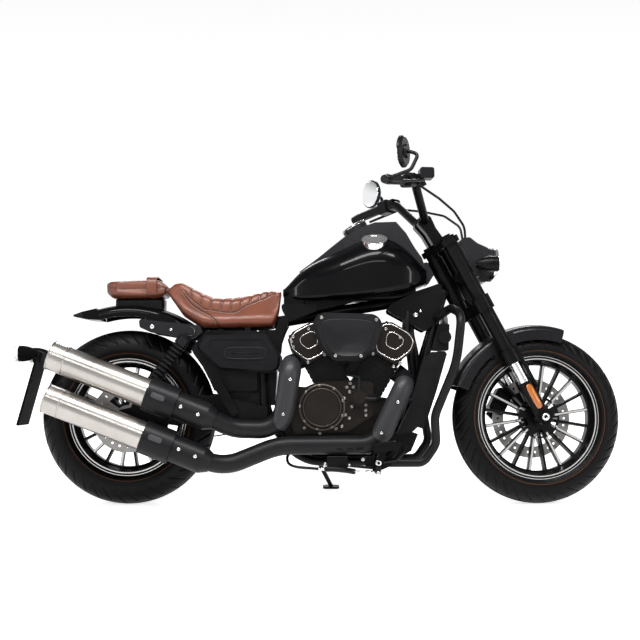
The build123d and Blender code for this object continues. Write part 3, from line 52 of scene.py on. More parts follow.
leaned = np.array(Matrix.Rotation(PITCH, 3, "Y") @ Matrix.Rotation(-LEAN, 3, "X"))
turned = np.array(Matrix.Rotation(STEERED, 3, Vector(FORK_UP)))


def at(points):
    """Upright millimetres to metres where the machine stands: p -> R (p) + shift."""
    return (np.asarray(points, float) @ leaned.T + FLOOR_SHIFT) / 1000


def steered(points):
    """The same for what turns with the fork: first p -> foot + T (p - foot) about its axis."""
    return at((np.asarray(points, float) - FORK_FOOT) @ turned.T + FORK_FOOT)


def direction(vector, place=at):
    """A unit vector of the upright machine, as it points where the machine stands."""
    v = place(vector) - place((0, 0, 0))
    return v / np.linalg.norm(v)


# ---------------- camera, light and floor
# A long lens a little above the tank's height looks square at the machine's right side. Large
# soft lamps stand round it on a white floor, and a pale sweep fills the distance.
LENS, CAMERA_AT, LOOK_DOWN, LOOK_RIGHT = 70.4, (-0.05, -4.736, 1.085), 4.94, 0.55


def placed(name, data):
    """An object of this data, in the scene."""
    made = bpy.data.objects.new(name, data)
    bpy.context.collection.objects.link(made)
    return made


camera = placed("camera", bpy.data.cameras.new("camera"))
camera.data.sensor_width = 36
camera.data.lens = LENS
camera.location = CAMERA_AT
camera.rotation_euler = (radians(90 - LOOK_DOWN), 0, radians(-LOOK_RIGHT))
bpy.context.scene.camera = camera
bpy.context.scene.view_settings.view_transform = "Standard"

# name, place, aim, size, power
LAMPS = (
    ("lamp_above", (0.0, -1.6, 3.3), (0, 0, 0.5), (3.2, 0.5), 190),
    ("lamp_side", (-0.5, -4.4, 2.9), (0, 0, 0.5), (3.0, 0.25), 46),
    ("lamp_front", (3.6, -2.4, 1.7), (0.4, 0, 0.6), (0.35, 2.0), 44),
    ("lamp_rear", (-3.6, -2.2, 1.8), (-0.4, 0, 0.6), (0.35, 2.0), 36),
    ("lamp_behind", (0.0, 3.4, 2.6), (0, 0, 0.6), (3.2, 0.5), 70),
)
for name, place, aim, size, power in LAMPS:
    light = bpy.data.lights.new(name, "AREA")
    light.shape = "RECTANGLE"
    light.size, light.size_y = size
    light.energy = power
    lamp = placed(name, light)
    lamp.location = place
    lamp.rotation_euler = (Vector(aim) - Vector(place)).to_track_quat("-Z", "Y").to_euler()


def feed(tree, socket, value):
    """Sets an input to a value, or joins it to the socket that is given."""
    if isinstance(value, bpy.types.NodeSocket):
        tree.links.new(value, socket)
    else:
        socket.default_value = value


def shade(tree, kind, **values):
    """A shader node: small names are its settings, the others its inputs, each fed."""
    node = tree.nodes.new(f"ShaderNode{kind}")
    for label, value in values.items():
        if label[0].islower():
            setattr(node, label, value)
        else:
            feed(tree, node.inputs[label], value)
    return node


def maths(tree, operation, *values, kind="Math", result=0):
    """A Math or Vector Math node; each value is a number or a socket. Gives its result."""
    node = shade(tree, kind, operation=operation)
    for socket, value in zip(node.inputs, values):
        feed(tree, socket, value)
    return node.outputs[result]


def ramp(tree, value, low, high, first=0.0, last=1.0, shape="SMOOTHSTEP"):
    """From first where the value is under low to last where it is over high."""
    node = shade(tree, "MapRange", interpolation_type=shape)
    for socket, number in zip(node.inputs, (value, low, high, first, last)):
        feed(tree, socket, number)
    return node.outputs["Result"]


def ray_mask(tree):
    """1 for the rays that show the background: the camera's, mirrored and refracted ones."""
    path = shade(tree, "LightPath").outputs
    mask = maths(tree, "MAXIMUM", path["Is Camera Ray"], path["Is Glossy Ray"])
    return maths(tree, "MAXIMUM", mask, path["Is Transmission Ray"])


def place_on(tree, kind="Object"):
    """The point that is shaded, in the object's own metres."""
    return shade(tree, "TexCoord").outputs[kind]


SKY_LEVEL, SKY_FADE = 0.12, (0.12, 0.45, 1.0, 0.3)  # the fade goes by the height of a ray
GLOW_FADE = (1.6, 5.0, 0.74, 1.0)  # by metres from the machine
FLOOR_REACH = 30
world = bpy.data.worlds.new("studio")
bpy.context.scene.world = world
world.use_nodes = True
sky = world.node_tree
plain = sky.nodes["Background"]
plain.inputs["Color"].default_value = (0.9, 0.93, 1.0, 1)
plain.inputs["Strength"].default_value = SKY_LEVEL
height = shade(sky, "SeparateXYZ", Vector=place_on(sky, "Generated")).outputs["Z"]
white = shade(sky, "Background", Color=(1, 1, 1, 1), Strength=ramp(sky, height, *SKY_FADE))
either = shade(sky, "MixShader")
for socket, value in zip(either.inputs, (ray_mask(sky), plain.outputs[0], white.outputs[0])):
    feed(sky, socket, value)
feed(sky, sky.nodes["World Output"].inputs[0], either.outputs[0])

floor_mesh = bpy.data.meshes.new("floor")
corners = [(FLOOR_REACH * x, FLOOR_REACH * y, 0) for x, y in ((-1, -1), (1, -1), (1, 1), (-1, 1))]
floor_mesh.from_pydata(corners, [], [(0, 1, 2, 3)])
floor = placed("floor", floor_mesh)
floor_paint = bpy.data.materials.new("floor")
floor_paint.use_nodes = True
ground = floor_paint.node_tree
matt = ground.nodes["Principled BSDF"]
matt.inputs["Base Color"].default_value = (0.9, 0.9, 0.9, 1)
matt.inputs["Roughness"].default_value = 0.9
matt.inputs["Specular IOR Level"].default_value = 0.0
away = maths(ground, "LENGTH", place_on(ground), kind="VectorMath", result=1)
level = maths(ground, "MULTIPLY", ray_mask(ground), ramp(ground, away, *GLOW_FADE))
glow = shade(ground, "Emission", Color=(1, 1, 1, 1), Strength=level)
both_kinds = shade(ground, "AddShader")
feed(ground, both_kinds.inputs[0], matt.outputs[0])
feed(ground, both_kinds.inputs[1], glow.outputs[0])
feed(ground, ground.nodes["Material Output"].inputs[0], both_kinds.outputs[0])
floor_mesh.materials.append(floor_paint)

# ---------------- finishes used all over
# Powder coat, castings and moulded plastic share a fine grain in their gloss and their surface,
# and thin clouds of dust in their colour.


def new_group(name, values, results):
    """A node group of (name, kind, default) values: its tree, its values and its results."""
    tree = bpy.data.node_groups.new(name, "ShaderNodeTree")
    for label, kind, default in values:
        socket = tree.interface.new_socket(label, in_out="INPUT", socket_type=f"NodeSocket{kind}")
        if default is not None:
            socket.default_value = default
    for label, kind in results:
        tree.interface.new_socket(label, in_out="OUTPUT", socket_type=f"NodeSocket{kind}")
    return tree, tree.nodes.new("NodeGroupInput").outputs, tree.nodes.new("NodeGroupOutput").inputs


PATCH_SCALE, CLOUD_SCALE, CLOUD_THIN = 6.0, 9.0, (0.42, 0.75)
grain, grain_in, grain_out = new_group(
    "surface grain",
    [("Scale", "Float", 300.0), ("Depth", "Float", 0.1), ("Gloss", "Float", 0.4),
     ("Spread", "Float", 0.1)],
    [("Roughness", "Float"), ("Normal", "Vector")],
)
spot = place_on(grain)
fine = shade(grain, "TexNoise", Vector=spot, Scale=grain_in["Scale"])
wide = shade(grain, "TexNoise", Vector=spot, Scale=PATCH_SCALE, Detail=5)
dents = shade(grain, "Bump", Distance=0.0006, Strength=grain_in["Depth"],
              Height=fine.outputs["Fac"])
patchy = maths(grain, "SUBTRACT", wide.outputs["Fac"], 0.5)
uneven = maths(grain, "MULTIPLY_ADD", patchy, grain_in["Spread"], grain_in["Gloss"])
feed(grain, grain_out["Roughness"], uneven)
feed(grain, grain_out["Normal"], dents.outputs["Normal"])

tint, tint_in, tint_out = new_group(
    "worn tint",
    [("Colour", "Color", (0.02, 0.02, 0.02, 1)), ("Dust", "Color", (0.1, 0.1, 0.1, 1)),
     ("Amount", "Float", 0.2)],
    [("Colour", "Color")],
)
cloud = shade(tint, "TexNoise", Vector=place_on(tint), Scale=CLOUD_SCALE, Detail=7, Roughness=0.65)
thin = ramp(tint, cloud.outputs["Fac"], *CLOUD_THIN, shape="LINEAR")


def blended(tree, mask, first, second, kind="RGBA"):
    """A Mix node from first to second as the mask goes from 0 to 1."""
    node = shade(tree, "Mix", data_type=kind)
    for socket, value in zip([s for s in node.inputs if s.enabled], (mask, first, second)):
        feed(tree, socket, value)
    return next(s for s in node.outputs if s.enabled)


dusty = maths(tint, "MULTIPLY", thin, tint_in["Amount"])
feed(tint, tint_out["Colour"], blended(tint, dusty, tint_in["Colour"], tint_in["Dust"]))


def coated(name, colour, gloss, *wearers, metallic=0.0, coat=0.0, coat_gloss=0.08, scale=300.0,
           depth=0.1, spread=0.12, dust=(0.03, 0.029, 0.028), amount=0.12, specular=0.12):
    """A paint, plastic or bare metal with the shared grain and tint, worn by these CAD nodes."""
    material = bpy.data.materials.new(name)
    material.use_nodes = True
    tree = material.node_tree
    rough = shade(tree, "Group", node_tree=grain, Scale=scale, Depth=depth, Gloss=gloss,
                  Spread=spread)
    hue = shade(tree, "Group", node_tree=tint, Colour=(*colour, 1), Dust=(*dust, 1), Amount=amount)
    for label, value in (
        ("Metallic", metallic), ("Specular IOR Level", specular), ("Coat Weight", coat),
        ("Coat Roughness", coat_gloss), ("Roughness", rough.outputs["Roughness"]),
        ("Normal", rough.outputs["Normal"]), ("Base Color", hue.outputs["Colour"]),
    ):
        feed(tree, tree.nodes["Principled BSDF"].inputs[label], value)
    for wearer in wearers:
        mesh = nodes[wearer].data
        mesh.materials.clear()
        mesh.materials.append(material)
    return material


satin_black = coated(
    "satin black coat", (0.0016, 0.0016, 0.0019), 0.32, "frame_spine", "frame_cradles",
    "swing_arm", "foot_controls", "pillion_rests", "side_stand", "fork_yokes", "fork_bottoms",
    "handlebar", "front_signals", "rear_pulley", scale=900, depth=0.12, specular=0.09)
coated("textured guard coat", (0.003, 0.003, 0.0033), 0.42, "engine_guard", scale=520, depth=0.5,
       specular=0.13)
black_plastic = coated(
    "grained plastic", (0.0034, 0.0034, 0.0044), 0.34, "side_covers", "hand_controls", "cables",
    "drive_belt", "mirrors", "pillion_seat", "rider_seat", scale=700, depth=0.2)
coated("dark casting", (0.012, 0.0098, 0.0086), 0.34, "engine_case", "engine_covers",
       metallic=0.5, scale=500, depth=0.35, dust=(0.03, 0.024, 0.02), amount=0.3, specular=0.15)
coated("engine black", (0.0028, 0.0028, 0.003), 0.38, "cylinders", "radiator", scale=420, depth=0.3)
coated("heat-proof black", (0.0042, 0.0042, 0.005), 0.4, "exhaust_rear", "exhaust_front", "shocks",
       scale=600, depth=0.15, specular=0.14)
coated("gloss black paint", (0.0015, 0.0015, 0.002), 0.3, "rear_fender", coat=0.12,
       coat_gloss=0.03, scale=60, depth=0.0, spread=0.05, amount=0.02, specular=0.04)
nacelle_black = coated("satin lamp shell", (0.009, 0.009, 0.0105), 0.34, "headlamp", scale=800,
                       specular=0.2)
coated("matt graphite", (0.0095, 0.0095, 0.0112), 0.34, "tank_console", "fender_struts",
       metallic=0.2, scale=1500, specular=0.18)
coated("satin fender", (0.004, 0.004, 0.005), 0.27, "front_fender", scale=900, depth=0.05,
       specular=0.2)
coated("dull plate", (0.002, 0.002, 0.002), 0.75, "plate_holder", scale=500, depth=0.2,
       specular=0.03, amount=0.05)
coated("ground steel", (0.32, 0.31, 0.30), 0.32, "front_disc", "rear_disc", metallic=1.0,
       dust=(0.16, 0.15, 0.14), amount=0.6)
chrome = coated("chrome", (0.72, 0.72, 0.72), 0.08, "fork_sliders", "fuel_cap", metallic=1.0,
                scale=200, depth=0.0, spread=0.05, dust=(0.5, 0.5, 0.5), amount=0.2)
fastener = coated("dull fasteners", (0.30, 0.29, 0.28), 0.3, metallic=1.0, scale=500, depth=0.05,
                  dust=(0.06, 0.055, 0.05), amount=0.5)
pale_metal = coated("bright trims", (0.62, 0.61, 0.59), 0.25, metallic=1.0, scale=500, depth=0.05,
                    dust=(0.3, 0.28, 0.26), amount=0.3)

# ---------------- wheels
# Black cast wheels: a machined line round each rim's edge and on every second spoke. All of it
# follows the distance and the angle round the axle.
about, about_in, about_out = new_group(
    "about an axle",
    [(label, "Vector", None) for label in ("Centre", "Axis", "Ahead", "Above")],
    [(label, "Float") for label in ("Radius", "Angle", "Across")],
)
arm = maths(about, "SUBTRACT", place_on(about), about_in["Centre"], kind="VectorMath")
across, ahead, above = (
    maths(about, "DOT_PRODUCT", arm, about_in[label], kind="VectorMath", result=1)
    for label in ("Axis", "Ahead", "Above")
)
squares = maths(about, "MULTIPLY_ADD", ahead, ahead, maths(about, "MULTIPLY", above, above))
feed(about, about_out["Radius"], maths(about, "SQRT", squares))
feed(about, about_out["Angle"], maths(about, "ARCTAN2", above, ahead))
feed(about, about_out["Across"], across)


def band(tree, value, low, high, soft):
    """1 where the value lies between low and high, with edges this soft."""
    middle, half = (low + high) / 2, (high - low) / 2
    gap = maths(tree, "ABSOLUTE", maths(tree, "SUBTRACT", value, middle))
    return ramp(tree, gap, half - soft, half + soft, 1.0, 0.0)


def about_axle(tree, centre, place):
    """The group's results for the wheel whose axle runs through centre."""
    side, front = direction(LEFT, place), direction(FRONT, place)
    return shade(tree, "Group", node_tree=about, Centre=place(centre), Axis=side, Ahead=front,
                 Above=np.cross(front, side)).outputs


def over_paint(material, mask, colour, gloss, metallic=0.0):
    """Lays a second finish over the material where the mask is 1."""
    tree = material.node_tree
    for label, value, kind in (("Base Color", (*colour, 1), "RGBA"), ("Roughness", gloss, "FLOAT"),
                               ("Metallic", metallic, "FLOAT")):
        socket = tree.nodes["Principled BSDF"].inputs[label]
        base = socket.links[0].from_socket if socket.is_linked else socket.default_value
        feed(tree, socket, blended(tree, mask, base, value, kind))


# wheel, axle x, tyre radius, tyre half width, rim radius, rim half width, placed with
WHEELS = (
    ("rear", 0.0, 323.0, 75.0, 217.0, 54.0, at),
    ("front", 1522.0, 318.0, 65.0, 230.0, 45.0, steered),
)
SPOKE_TURN, FIRST_SPOKE, WEBS = radians(36), radians(9), 20
MACHINED_RINGS = ((13.5, 9.5), (2.6, -3))  # inside the rim's radius, from and to
FACE_HALF, FACE_FROM, FACE_SHORT, FACE_OUT = 0.0034, 0.062, 34, 0.415
EDGE_SOFT, END_SOFT, FLANK = 0.0004, 0.002, 0.8
for name, axle_x, tyre_r, tyre_half, rim_r, rim_half, place in WHEELS:
    paint = coated(f"{name} wheel paint", (0.002, 0.002, 0.0023), 0.28, f"{name}_rim", scale=500,
                   depth=0.05, amount=0.05, specular=0.14)
    tree = paint.node_tree
    polar = about_axle(tree, (axle_x, 0, tyre_r), place)
    radius, out = polar["Radius"], maths(tree, "ABSOLUTE", polar["Across"])
    ring, edge = (band(tree, radius, (rim_r - far) / 1000, (rim_r - near) / 1000, EDGE_SOFT)
                  for far, near in MACHINED_RINGS)
    turn = maths(tree, "DIVIDE", maths(tree, "SUBTRACT", polar["Angle"], FIRST_SPOKE), SPOKE_TURN)
    off = maths(tree, "SUBTRACT", turn, maths(tree, "ROUND", turn))
    beside = maths(tree, "MULTIPLY", maths(tree, "MULTIPLY", off, SPOKE_TURN), radius)
    spoke = maths(tree, "MULTIPLY", band(tree, beside, -FACE_HALF, FACE_HALF, EDGE_SOFT),
                  band(tree, radius, FACE_FROM, (rim_r - FACE_SHORT) / 1000, END_SOFT))
    outer = maths(tree, "GREATER_THAN", out, rim_half * FACE_OUT / 1000)
    spoke = maths(tree, "MULTIPLY", spoke, outer)
    flank = maths(tree, "GREATER_THAN", out, (rim_half - FLANK) / 1000)
    rings = maths(tree, "MULTIPLY", maths(tree, "MAXIMUM", ring, edge), flank)
    over_paint(paint, maths(tree, "MAXIMUM", rings, spoke), (0.62, 0.61, 0.6), 0.26, 1.0)


def grid_faces(rows, columns, round_rows=False, round_columns=False):
    """Quads of a net of rows by columns, closed on itself where it goes round."""
    i, j = np.meshgrid(np.arange(rows - (not round_rows)), np.arange(columns - (not round_columns)),
                       indexing="ij")
    i, j = i.ravel(), j.ravel()
    down, along = (i + 1) % rows, (j + 1) % columns
    return np.stack([i * columns + j, down * columns + j, down * columns + along,
                     i * columns + along], axis=1)


def piece(name, parts, material, body="chassis", replaces=(), smooth=True, marks=None):
    """One named piece of (points, faces): joined, poles closed and its sides turned outward."""
    starts = np.cumsum([0] + [len(points) for points, _ in parts[:-1]])
    points = np.concatenate([points for points, _ in parts])
    faces = np.concatenate([faces + start for (_, faces), start in zip(parts, starts)])
    mesh = bpy.data.meshes.new(name)
    mesh.from_pydata(points, [], faces)
    for label, values in (marks or {}).items():
        mark = mesh.attributes.new(label, "FLOAT", "POINT")
        mark.data.foreach_set("value", values.astype(np.float32))
    net = bmesh.new()
    net.from_mesh(mesh)
    bmesh.ops.remove_doubles(net, verts=net.verts, dist=1e-6)
    bmesh.ops.dissolve_degenerate(net, edges=net.edges, dist=1e-7)
    bmesh.ops.recalc_face_normals(net, faces=net.faces)
    net.to_mesh(mesh)
    net.free()
    mesh.polygons.foreach_set("use_smooth", np.full(len(mesh.polygons), smooth))
    mesh.materials.append(material)
    made = placed(name, mesh)
    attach(made, body)
    if replaces:
        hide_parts(*replaces)
    return made


def wall(corners, steps):
    """Points spaced evenly along a line through its corners."""
    corners = np.array(corners, float)
    run = np.concatenate([[0], np.cumsum(np.linalg.norm(np.diff(corners, axis=0), axis=1))])
    return np.stack([np.interp(np.linspace(0, run[-1], steps), run, c) for c in corners.T], axis=1)


# ---------------- tyres
# Rubber, each one net swept round its axle: a half round crown, walls and beads outside and a
# liner within. Slanted grooves cross the shoulders, and two more run round the crown.
TREAD_COLUMNS, CROWN_ROWS, WALL_ROWS = 960, 61, 9
RIM_LIP, BEAD_GAP, BEAD_DEEP, BEAD_THICK, TYRE_THICK = 4.5, 0.3, 11, 8, 10
# half width, flank and depth, and where they run, in radians from the crown's middle
SHOULDER_HALF, SHOULDER_FLANK, SHOULDER_DEEP, SHOULDER_SWEEP = 4.4, 1.4, 4.6, 0.11
CROWN_HALF, CROWN_FLANK, CROWN_DEEP, CROWN_AT = 3.4, 1.6, 4.0, 0.22
GROOVE_REACH = ((0.30, 1.22), (0.62, 1.30))  # of every second one, and of the others
RIB_AT, RIB_HALF, RIB_HIGH = 7, 2.2, 0.7
WALL_BULGE, WALL_DROP, WALL_LINE, LINE_SOFT = 0.93, 3, (17.2, 18.6), 0.0003
PITCHES = {"rear": 40, "front": 42}
for name, axle_x, tyre_r, tyre_half, rim_r, rim_half, place in WHEELS:
    centre = tyre_r - tyre_half
    bead = rim_half - RIM_LIP - BEAD_GAP
    sweep = np.linspace(-pi / 2, pi / 2, CROWN_ROWS)
    crown = np.stack([tyre_half * np.sin(sweep), centre + tyre_half * np.cos(sweep)], axis=1)
    bulge = (tyre_half * WALL_BULGE, (rim_r + centre) / 2 - WALL_DROP)
    low = wall([(bead, rim_r), bulge, (tyre_half, centre)], WALL_ROWS)[:-1]
    liner = [(bead, rim_r - BEAD_DEEP), (bead - BEAD_THICK, rim_r - BEAD_DEEP),
             (bead - BEAD_THICK, rim_r), (tyre_half - TYRE_THICK, centre)]
    inner = np.array([*liner, (0, tyre_r - TYRE_THICK), *((-y, r) for y, r in liner[::-1])])
    section = np.concatenate([low * (-1, 1), crown, low[::-1], inner])
    count = len(low) + CROWN_ROWS + len(low)
    y, r = section[:, 0][:, None], section[:, 1][:, None]
    angle = np.linspace(0, tau, TREAD_COLUMNS, endpoint=False)[None, :]
    lean_of = np.zeros(len(section))
    lean_of[len(low):len(low) + CROWN_ROWS] = sweep
    side = np.abs(lean_of)[:, None]
    pitches = PITCHES[name]
    phase = (angle + SHOULDER_SWEEP * side ** 2 + 0.5 * tau / pitches * (y > 0)) / tau * pitches
    beside = np.abs(phase - np.round(phase)) * tau / pitches * tyre_r
    long_one = np.round(phase) % 2 < 0.5
    reach = np.where(long_one, *((side > near) & (side < far) for near, far in GROOVE_REACH))
    cut = SHOULDER_DEEP * np.clip((SHOULDER_HALF - beside) / SHOULDER_FLANK, 0, 1) * reach
    near_line = CROWN_HALF - np.abs(side - CROWN_AT) * tyre_half
    round_cut = CROWN_DEEP * np.clip(near_line / CROWN_FLANK, 0, 1) * (side > 0)
    rib = RIB_HIGH * np.clip(1 - np.abs(r - (rim_r + RIB_AT)) / RIB_HALF, 0, 1)
    rib = rib * (np.arange(len(section)) < count)[:, None]
    depth = np.maximum(cut, round_cut)
    y = y - depth * np.sin(lean_of)[:, None] + rib * np.sign(y)
    r = r - depth * np.cos(lean_of)[:, None]
    net = np.stack([axle_x + r * np.cos(angle), y, tyre_r + r * np.sin(angle)], axis=-1)
    rubber = coated(f"{name} tyre rubber", (0.0016, 0.0016, 0.0018), 0.42, scale=600, depth=0.3,
                    dust=(0.006, 0.0055, 0.005), amount=0.3, specular=0.09)
    radius = about_axle(rubber.node_tree, (axle_x, 0, tyre_r), place)["Radius"]
    from_rim, to_rim = ((rim_r + reach) / 1000 for reach in WALL_LINE)
    line = band(rubber.node_tree, radius, from_rim, to_rim, LINE_SOFT)
    over_paint(rubber, line, (0.10, 0.035, 0.014), 0.6)
    faces = grid_faces(len(section), TREAD_COLUMNS, True, True)
    piece(f"{name}_tyre_tread", [(place(net.reshape(-1, 3)), faces)], rubber,
          f"{name}_wheel", [f"{name}_tyre"])

# ---------------- tank, shields and silencers
# The tank is gloss black; the heat shields carry a printed weave under a thin lacquer, and the
# silencers are brushed round their length.
coated("tank black", (0.0012, 0.0012, 0.0016), 0.28, "fuel_tank", coat=0.14, coat_gloss=0.02,
       scale=60, depth=0.0, spread=0.05, amount=0.02, specular=0.04)

WEAVE_SCALE, WEAVE_EDGE = 620, 0.2
shield_coat = coated("woven shield", (0.012, 0.012, 0.0135), 0.42, "heat_shields", coat=0.05,
                     coat_gloss=0.25, depth=0.05, specular=0.2)
tree = shield_coat.node_tree
spot = shade(tree, "SeparateXYZ", Vector=place_on(tree)).outputs
slants = (maths(tree, way, spot["X"], spot["Z"]) for way in ("ADD", "SUBTRACT"))
waves = (maths(tree, "SINE", maths(tree, "MULTIPLY", slant, WEAVE_SCALE)) for slant in slants)
woven = ramp(tree, maths(tree, "MULTIPLY", *waves), -WEAVE_EDGE, WEAVE_EDGE, shape="LINEAR")
over_paint(shield_coat, woven, (0.032, 0.032, 0.036), 0.45, 0.3)

CAN_TILT = radians(21.5)
CAN_RUN = np.array([-cos(CAN_TILT), 0.0, sin(CAN_TILT)])
CAN_OVER = np.array([sin(CAN_TILT), 0.0, cos(CAN_TILT)])
stainless = coated("brushed stainless", (0.36, 0.34, 0.32), 0.3, "silencers", metallic=1.0,
                   depth=0.03, dust=(0.19, 0.175, 0.16), amount=0.3)


def roughened(material, height, distance, strength):
    """Lays fine relief on a material, over the relief that it has."""
    tree = material.node_tree
    socket = tree.nodes["Principled BSDF"].inputs["Normal"]
    relief = shade(tree, "Bump", Height=height, Distance=distance, Strength=strength,
                   Normal=socket.links[0].from_socket)
    feed(tree, socket, relief.outputs["Normal"])


tree = stainless.node_tree
tree.nodes["Principled BSDF"].inputs["Anisotropic"].default_value = 0.5
along_can = shade(tree, "Mapping", Vector=place_on(tree), Rotation=(0, CAN_TILT, 0),
                  Scale=(700, 25, 25))
lines = shade(tree, "TexNoise", Vector=along_can.outputs["Vector"], Scale=1.0)
roughened(stainless, lines.outputs["Fac"], 0.0003, 0.03)

clear = coated("clear lens", (0.62, 0.65, 0.7), 0.04, "headlamp_lens", coat=1.0, scale=200,
               depth=0.0, specular=0.6)

# ---------------- seats
# Tan leather over foam. Each cushion is a net of rounded sections blown up by a short cloth pass
# with its underside held; pleats and seams are then pressed into the finer net and darkened there
# with painted shade.

# x and z along the middle of the top and of the underside, then x and half width
SEAT_TOP = ((145, 786), (150, 805), (172, 824), (200, 829), (230, 815), (260, 797), (316, 773),
            (374, 765), (419, 768), (464, 782), (508, 797), (542, 802), (566, 790))
SEAT_LOW = ((145, 784), (152, 770), (207, 694), (275, 650), (320, 648), (540, 650), (556, 700),
            (566, 782))
SEAT_WIDE = ((130, 112), (200, 133), (300, 140), (390, 131), (480, 104), (575, 84))
PILLION_TOP = ((-83, 824), (-70, 832), (-40, 835), (0, 836), (64, 838), (108, 838), (128, 832),
               (143, 812))
PILLION_LOW = ((-83, 778), (-60, 763), (0, 761), (100, 762), (136, 768), (143, 784))
PILLION_WIDE = ((-84, 62), (-62, 84), (-40, 95), (60, 103), (143, 109))
SEAT_NET, PILLION_NET, FINER = (84, 88), (60, 72), 3  # rows and columns, and cuts of each cell


def soft_net(top, low, wide, rows, columns, power=0.42, closing=9):
    """At each x, a rounded box between the low and top lines; it closes at both ends."""
    share = 0.5 - 0.5 * np.cos(np.linspace(0, pi, rows))
    x = top[0][0] + (top[-1][0] - top[0][0]) * share
    close = (1 - np.abs(2 * share - 1) ** closing) ** (1 / closing)
    above, below, half = (np.interp(x, *np.array(line, float).T) for line in (top, low, wide))
    half = half * close
    middle, high = (above + below) / 2, (above - below) / 2 * np.maximum(close, 0.02)
    a = np.linspace(0, tau, 721)
    across, up = (np.sign(v) * np.abs(v) ** power for v in (np.cos(a), np.sin(a)))
    net = np.empty((rows, columns, 3))
    for row in range(rows):
        y, z = across * half[row], up * high[row]
        run = np.concatenate([[0], np.cumsum(np.hypot(np.diff(y), np.diff(z)))])
        even = np.linspace(0, run[-1], columns, endpoint=False)
        net[row] = np.stack([np.full(columns, x[row]), np.interp(even, run, y),
                             middle[row] + np.interp(even, run, z)], axis=1)
    return net


def smoother(net, times):
    """Moves each point half way to the mean of its neighbours, the end rows held."""
    for _ in range(times):
        mean = (np.roll(net, 1, 1) + np.roll(net, -1, 1)) / 4
        mean[1:-1] += (net[2:] + net[:-2]) / 4
        net = np.concatenate([net[:1], (net[1:-1] + mean[1:-1]) / 2, net[-1:]])
    return net


def curve(corners, steps=12, closed=False):
    """Catmull-Rom through the corners: each step is a cubic of four corners in a row."""
    corners = np.asarray(corners, float)
    if closed:
        held = np.concatenate([corners[-1:], corners, corners[:2]])
    else:
        before, after = 2 * corners[:1] - corners[1:2], 2 * corners[-1:] - corners[-2:-1]
        held = np.concatenate([before, corners, after])
    t = np.linspace(0, 1, steps, endpoint=False)[None, :, None]
    a, b, c, d = (held[k:len(held) - 3 + k][:, None] for k in range(4))
    made = b + 0.5 * t * (c - a + t * (2 * a - 5 * b + 4 * c - d + t * (3 * (b - c) + d - a)))
    made = made.reshape(-1, corners.shape[1])
    return made if closed else np.concatenate([made, corners[-1:]])


def finer(net, steps):
    """The same surface with each cell of the net cut into steps by steps."""
    rows, columns, _ = net.shape
    net = curve(net.reshape(rows, -1), steps).reshape(-1, columns, 3)
    rows = len(net)
    net = curve(net.transpose(1, 0, 2).reshape(columns, -1), steps, True).reshape(-1, rows, 3)
    return net.transpose(1, 0, 2)


def outward(net):
    """Unit normals of a net that is closed round its columns."""
    normal = np.cross(np.gradient(net, axis=0), np.roll(net, -1, 1) - np.roll(net, 1, 1))
    normal /= np.maximum(np.linalg.norm(normal, axis=-1, keepdims=True), 1e-9)
    return normal * np.sign(np.sum(normal * (net - net.mean(axis=1, keepdims=True))))


PRESSURE, BLOW_FRAMES, MOST_MOVE, HELD_SHARE = 4.0, 20, 7.0, 0.25


def blown(net):
    """A cushion's net after a cloth pass with air inside; no point moves far from its place."""
    rows, columns, _ = net.shape
    mesh = bpy.data.meshes.new("cushion")
    mesh.from_pydata(net.reshape(-1, 3) / 1000, [], grid_faces(rows, columns, False, True))
    body = placed("cushion", mesh)
    held = body.vertex_groups.new(name="held")
    z = net[..., 2]
    low = z < z.min(axis=1, keepdims=True) + HELD_SHARE * np.ptp(z, axis=1)[:, None]
    low[:2] = low[-2:] = True
    held.add([int(k) for k in np.flatnonzero(low)], 1.0, "REPLACE")
    cloth = body.modifiers.new("cloth", "CLOTH")
    cloth.settings.use_pressure = True
    cloth.settings.uniform_pressure_force = PRESSURE
    cloth.settings.vertex_group_mass = "held"
    cloth.settings.effector_weights.gravity = 0
    cloth.settings.quality = 4
    cloth.settings.mass = 0.15
    cloth.point_cache.frame_start, cloth.point_cache.frame_end = 1, BLOW_FRAMES
    for step in range(1, BLOW_FRAMES + 1):
        bpy.context.scene.frame_set(step)
    after = body.evaluated_get(bpy.context.evaluated_depsgraph_get()).data
    moved = np.empty(rows * columns * 3)
    after.vertices.foreach_get("co", moved)
    bpy.context.scene.frame_set(1)
    bpy.data.objects.remove(body)
    bpy.data.meshes.remove(mesh)
    step = moved.reshape(net.shape) * 1000 - net
    size = np.linalg.norm(step, axis=-1, keepdims=True)
    return net + step * np.minimum(1, MOST_MOVE / np.maximum(size, 1e-6))


def closed_net(net):
    """Points and faces of a net that is closed round its columns."""
    return at(net.reshape(-1, 3)), grid_faces(*net.shape[:2], False, True)


def gap_to(points, line):
    """Distance from each point to the nearest of a line's points, both in two coordinates."""
    best = np.full(len(points), 1e9)
    for corner in line:
        best = np.minimum(best, np.hypot(points[:, 0] - corner[0], points[:, 1] - corner[1]))
    return best


def hide(name, colour, dark, gloss):
    """Leather: fine pores and soft clouds, with painted shade darkening it along the pressed lines.
    """
    material = coated(name, colour, gloss, scale=1500, depth=0.35, spread=0.2, dust=dark,
                      amount=0.45, specular=0.45)
    tree = material.node_tree
    pores = shade(tree, "TexVoronoi", Vector=place_on(tree), Scale=420)
    roughened(material, pores.outputs["Distance"], 0.0005, 0.3)
    # Painted shade: the pressed lines darken towards the dark colour, the deeper ones more.
    pressed_shade_mask = shade(tree, "Attribute", attribute_name="pressed_shade").outputs["Fac"]
    socket = tree.nodes["Principled BSDF"].inputs["Base Color"]
    pressed_shade_amount = maths(tree, "MULTIPLY", pressed_shade_mask, PRESSED_SHADE_SHARE)
    feed(tree, socket, blended(tree, pressed_shade_amount, socket.links[0].from_socket, (*dark, 1)))
    return material


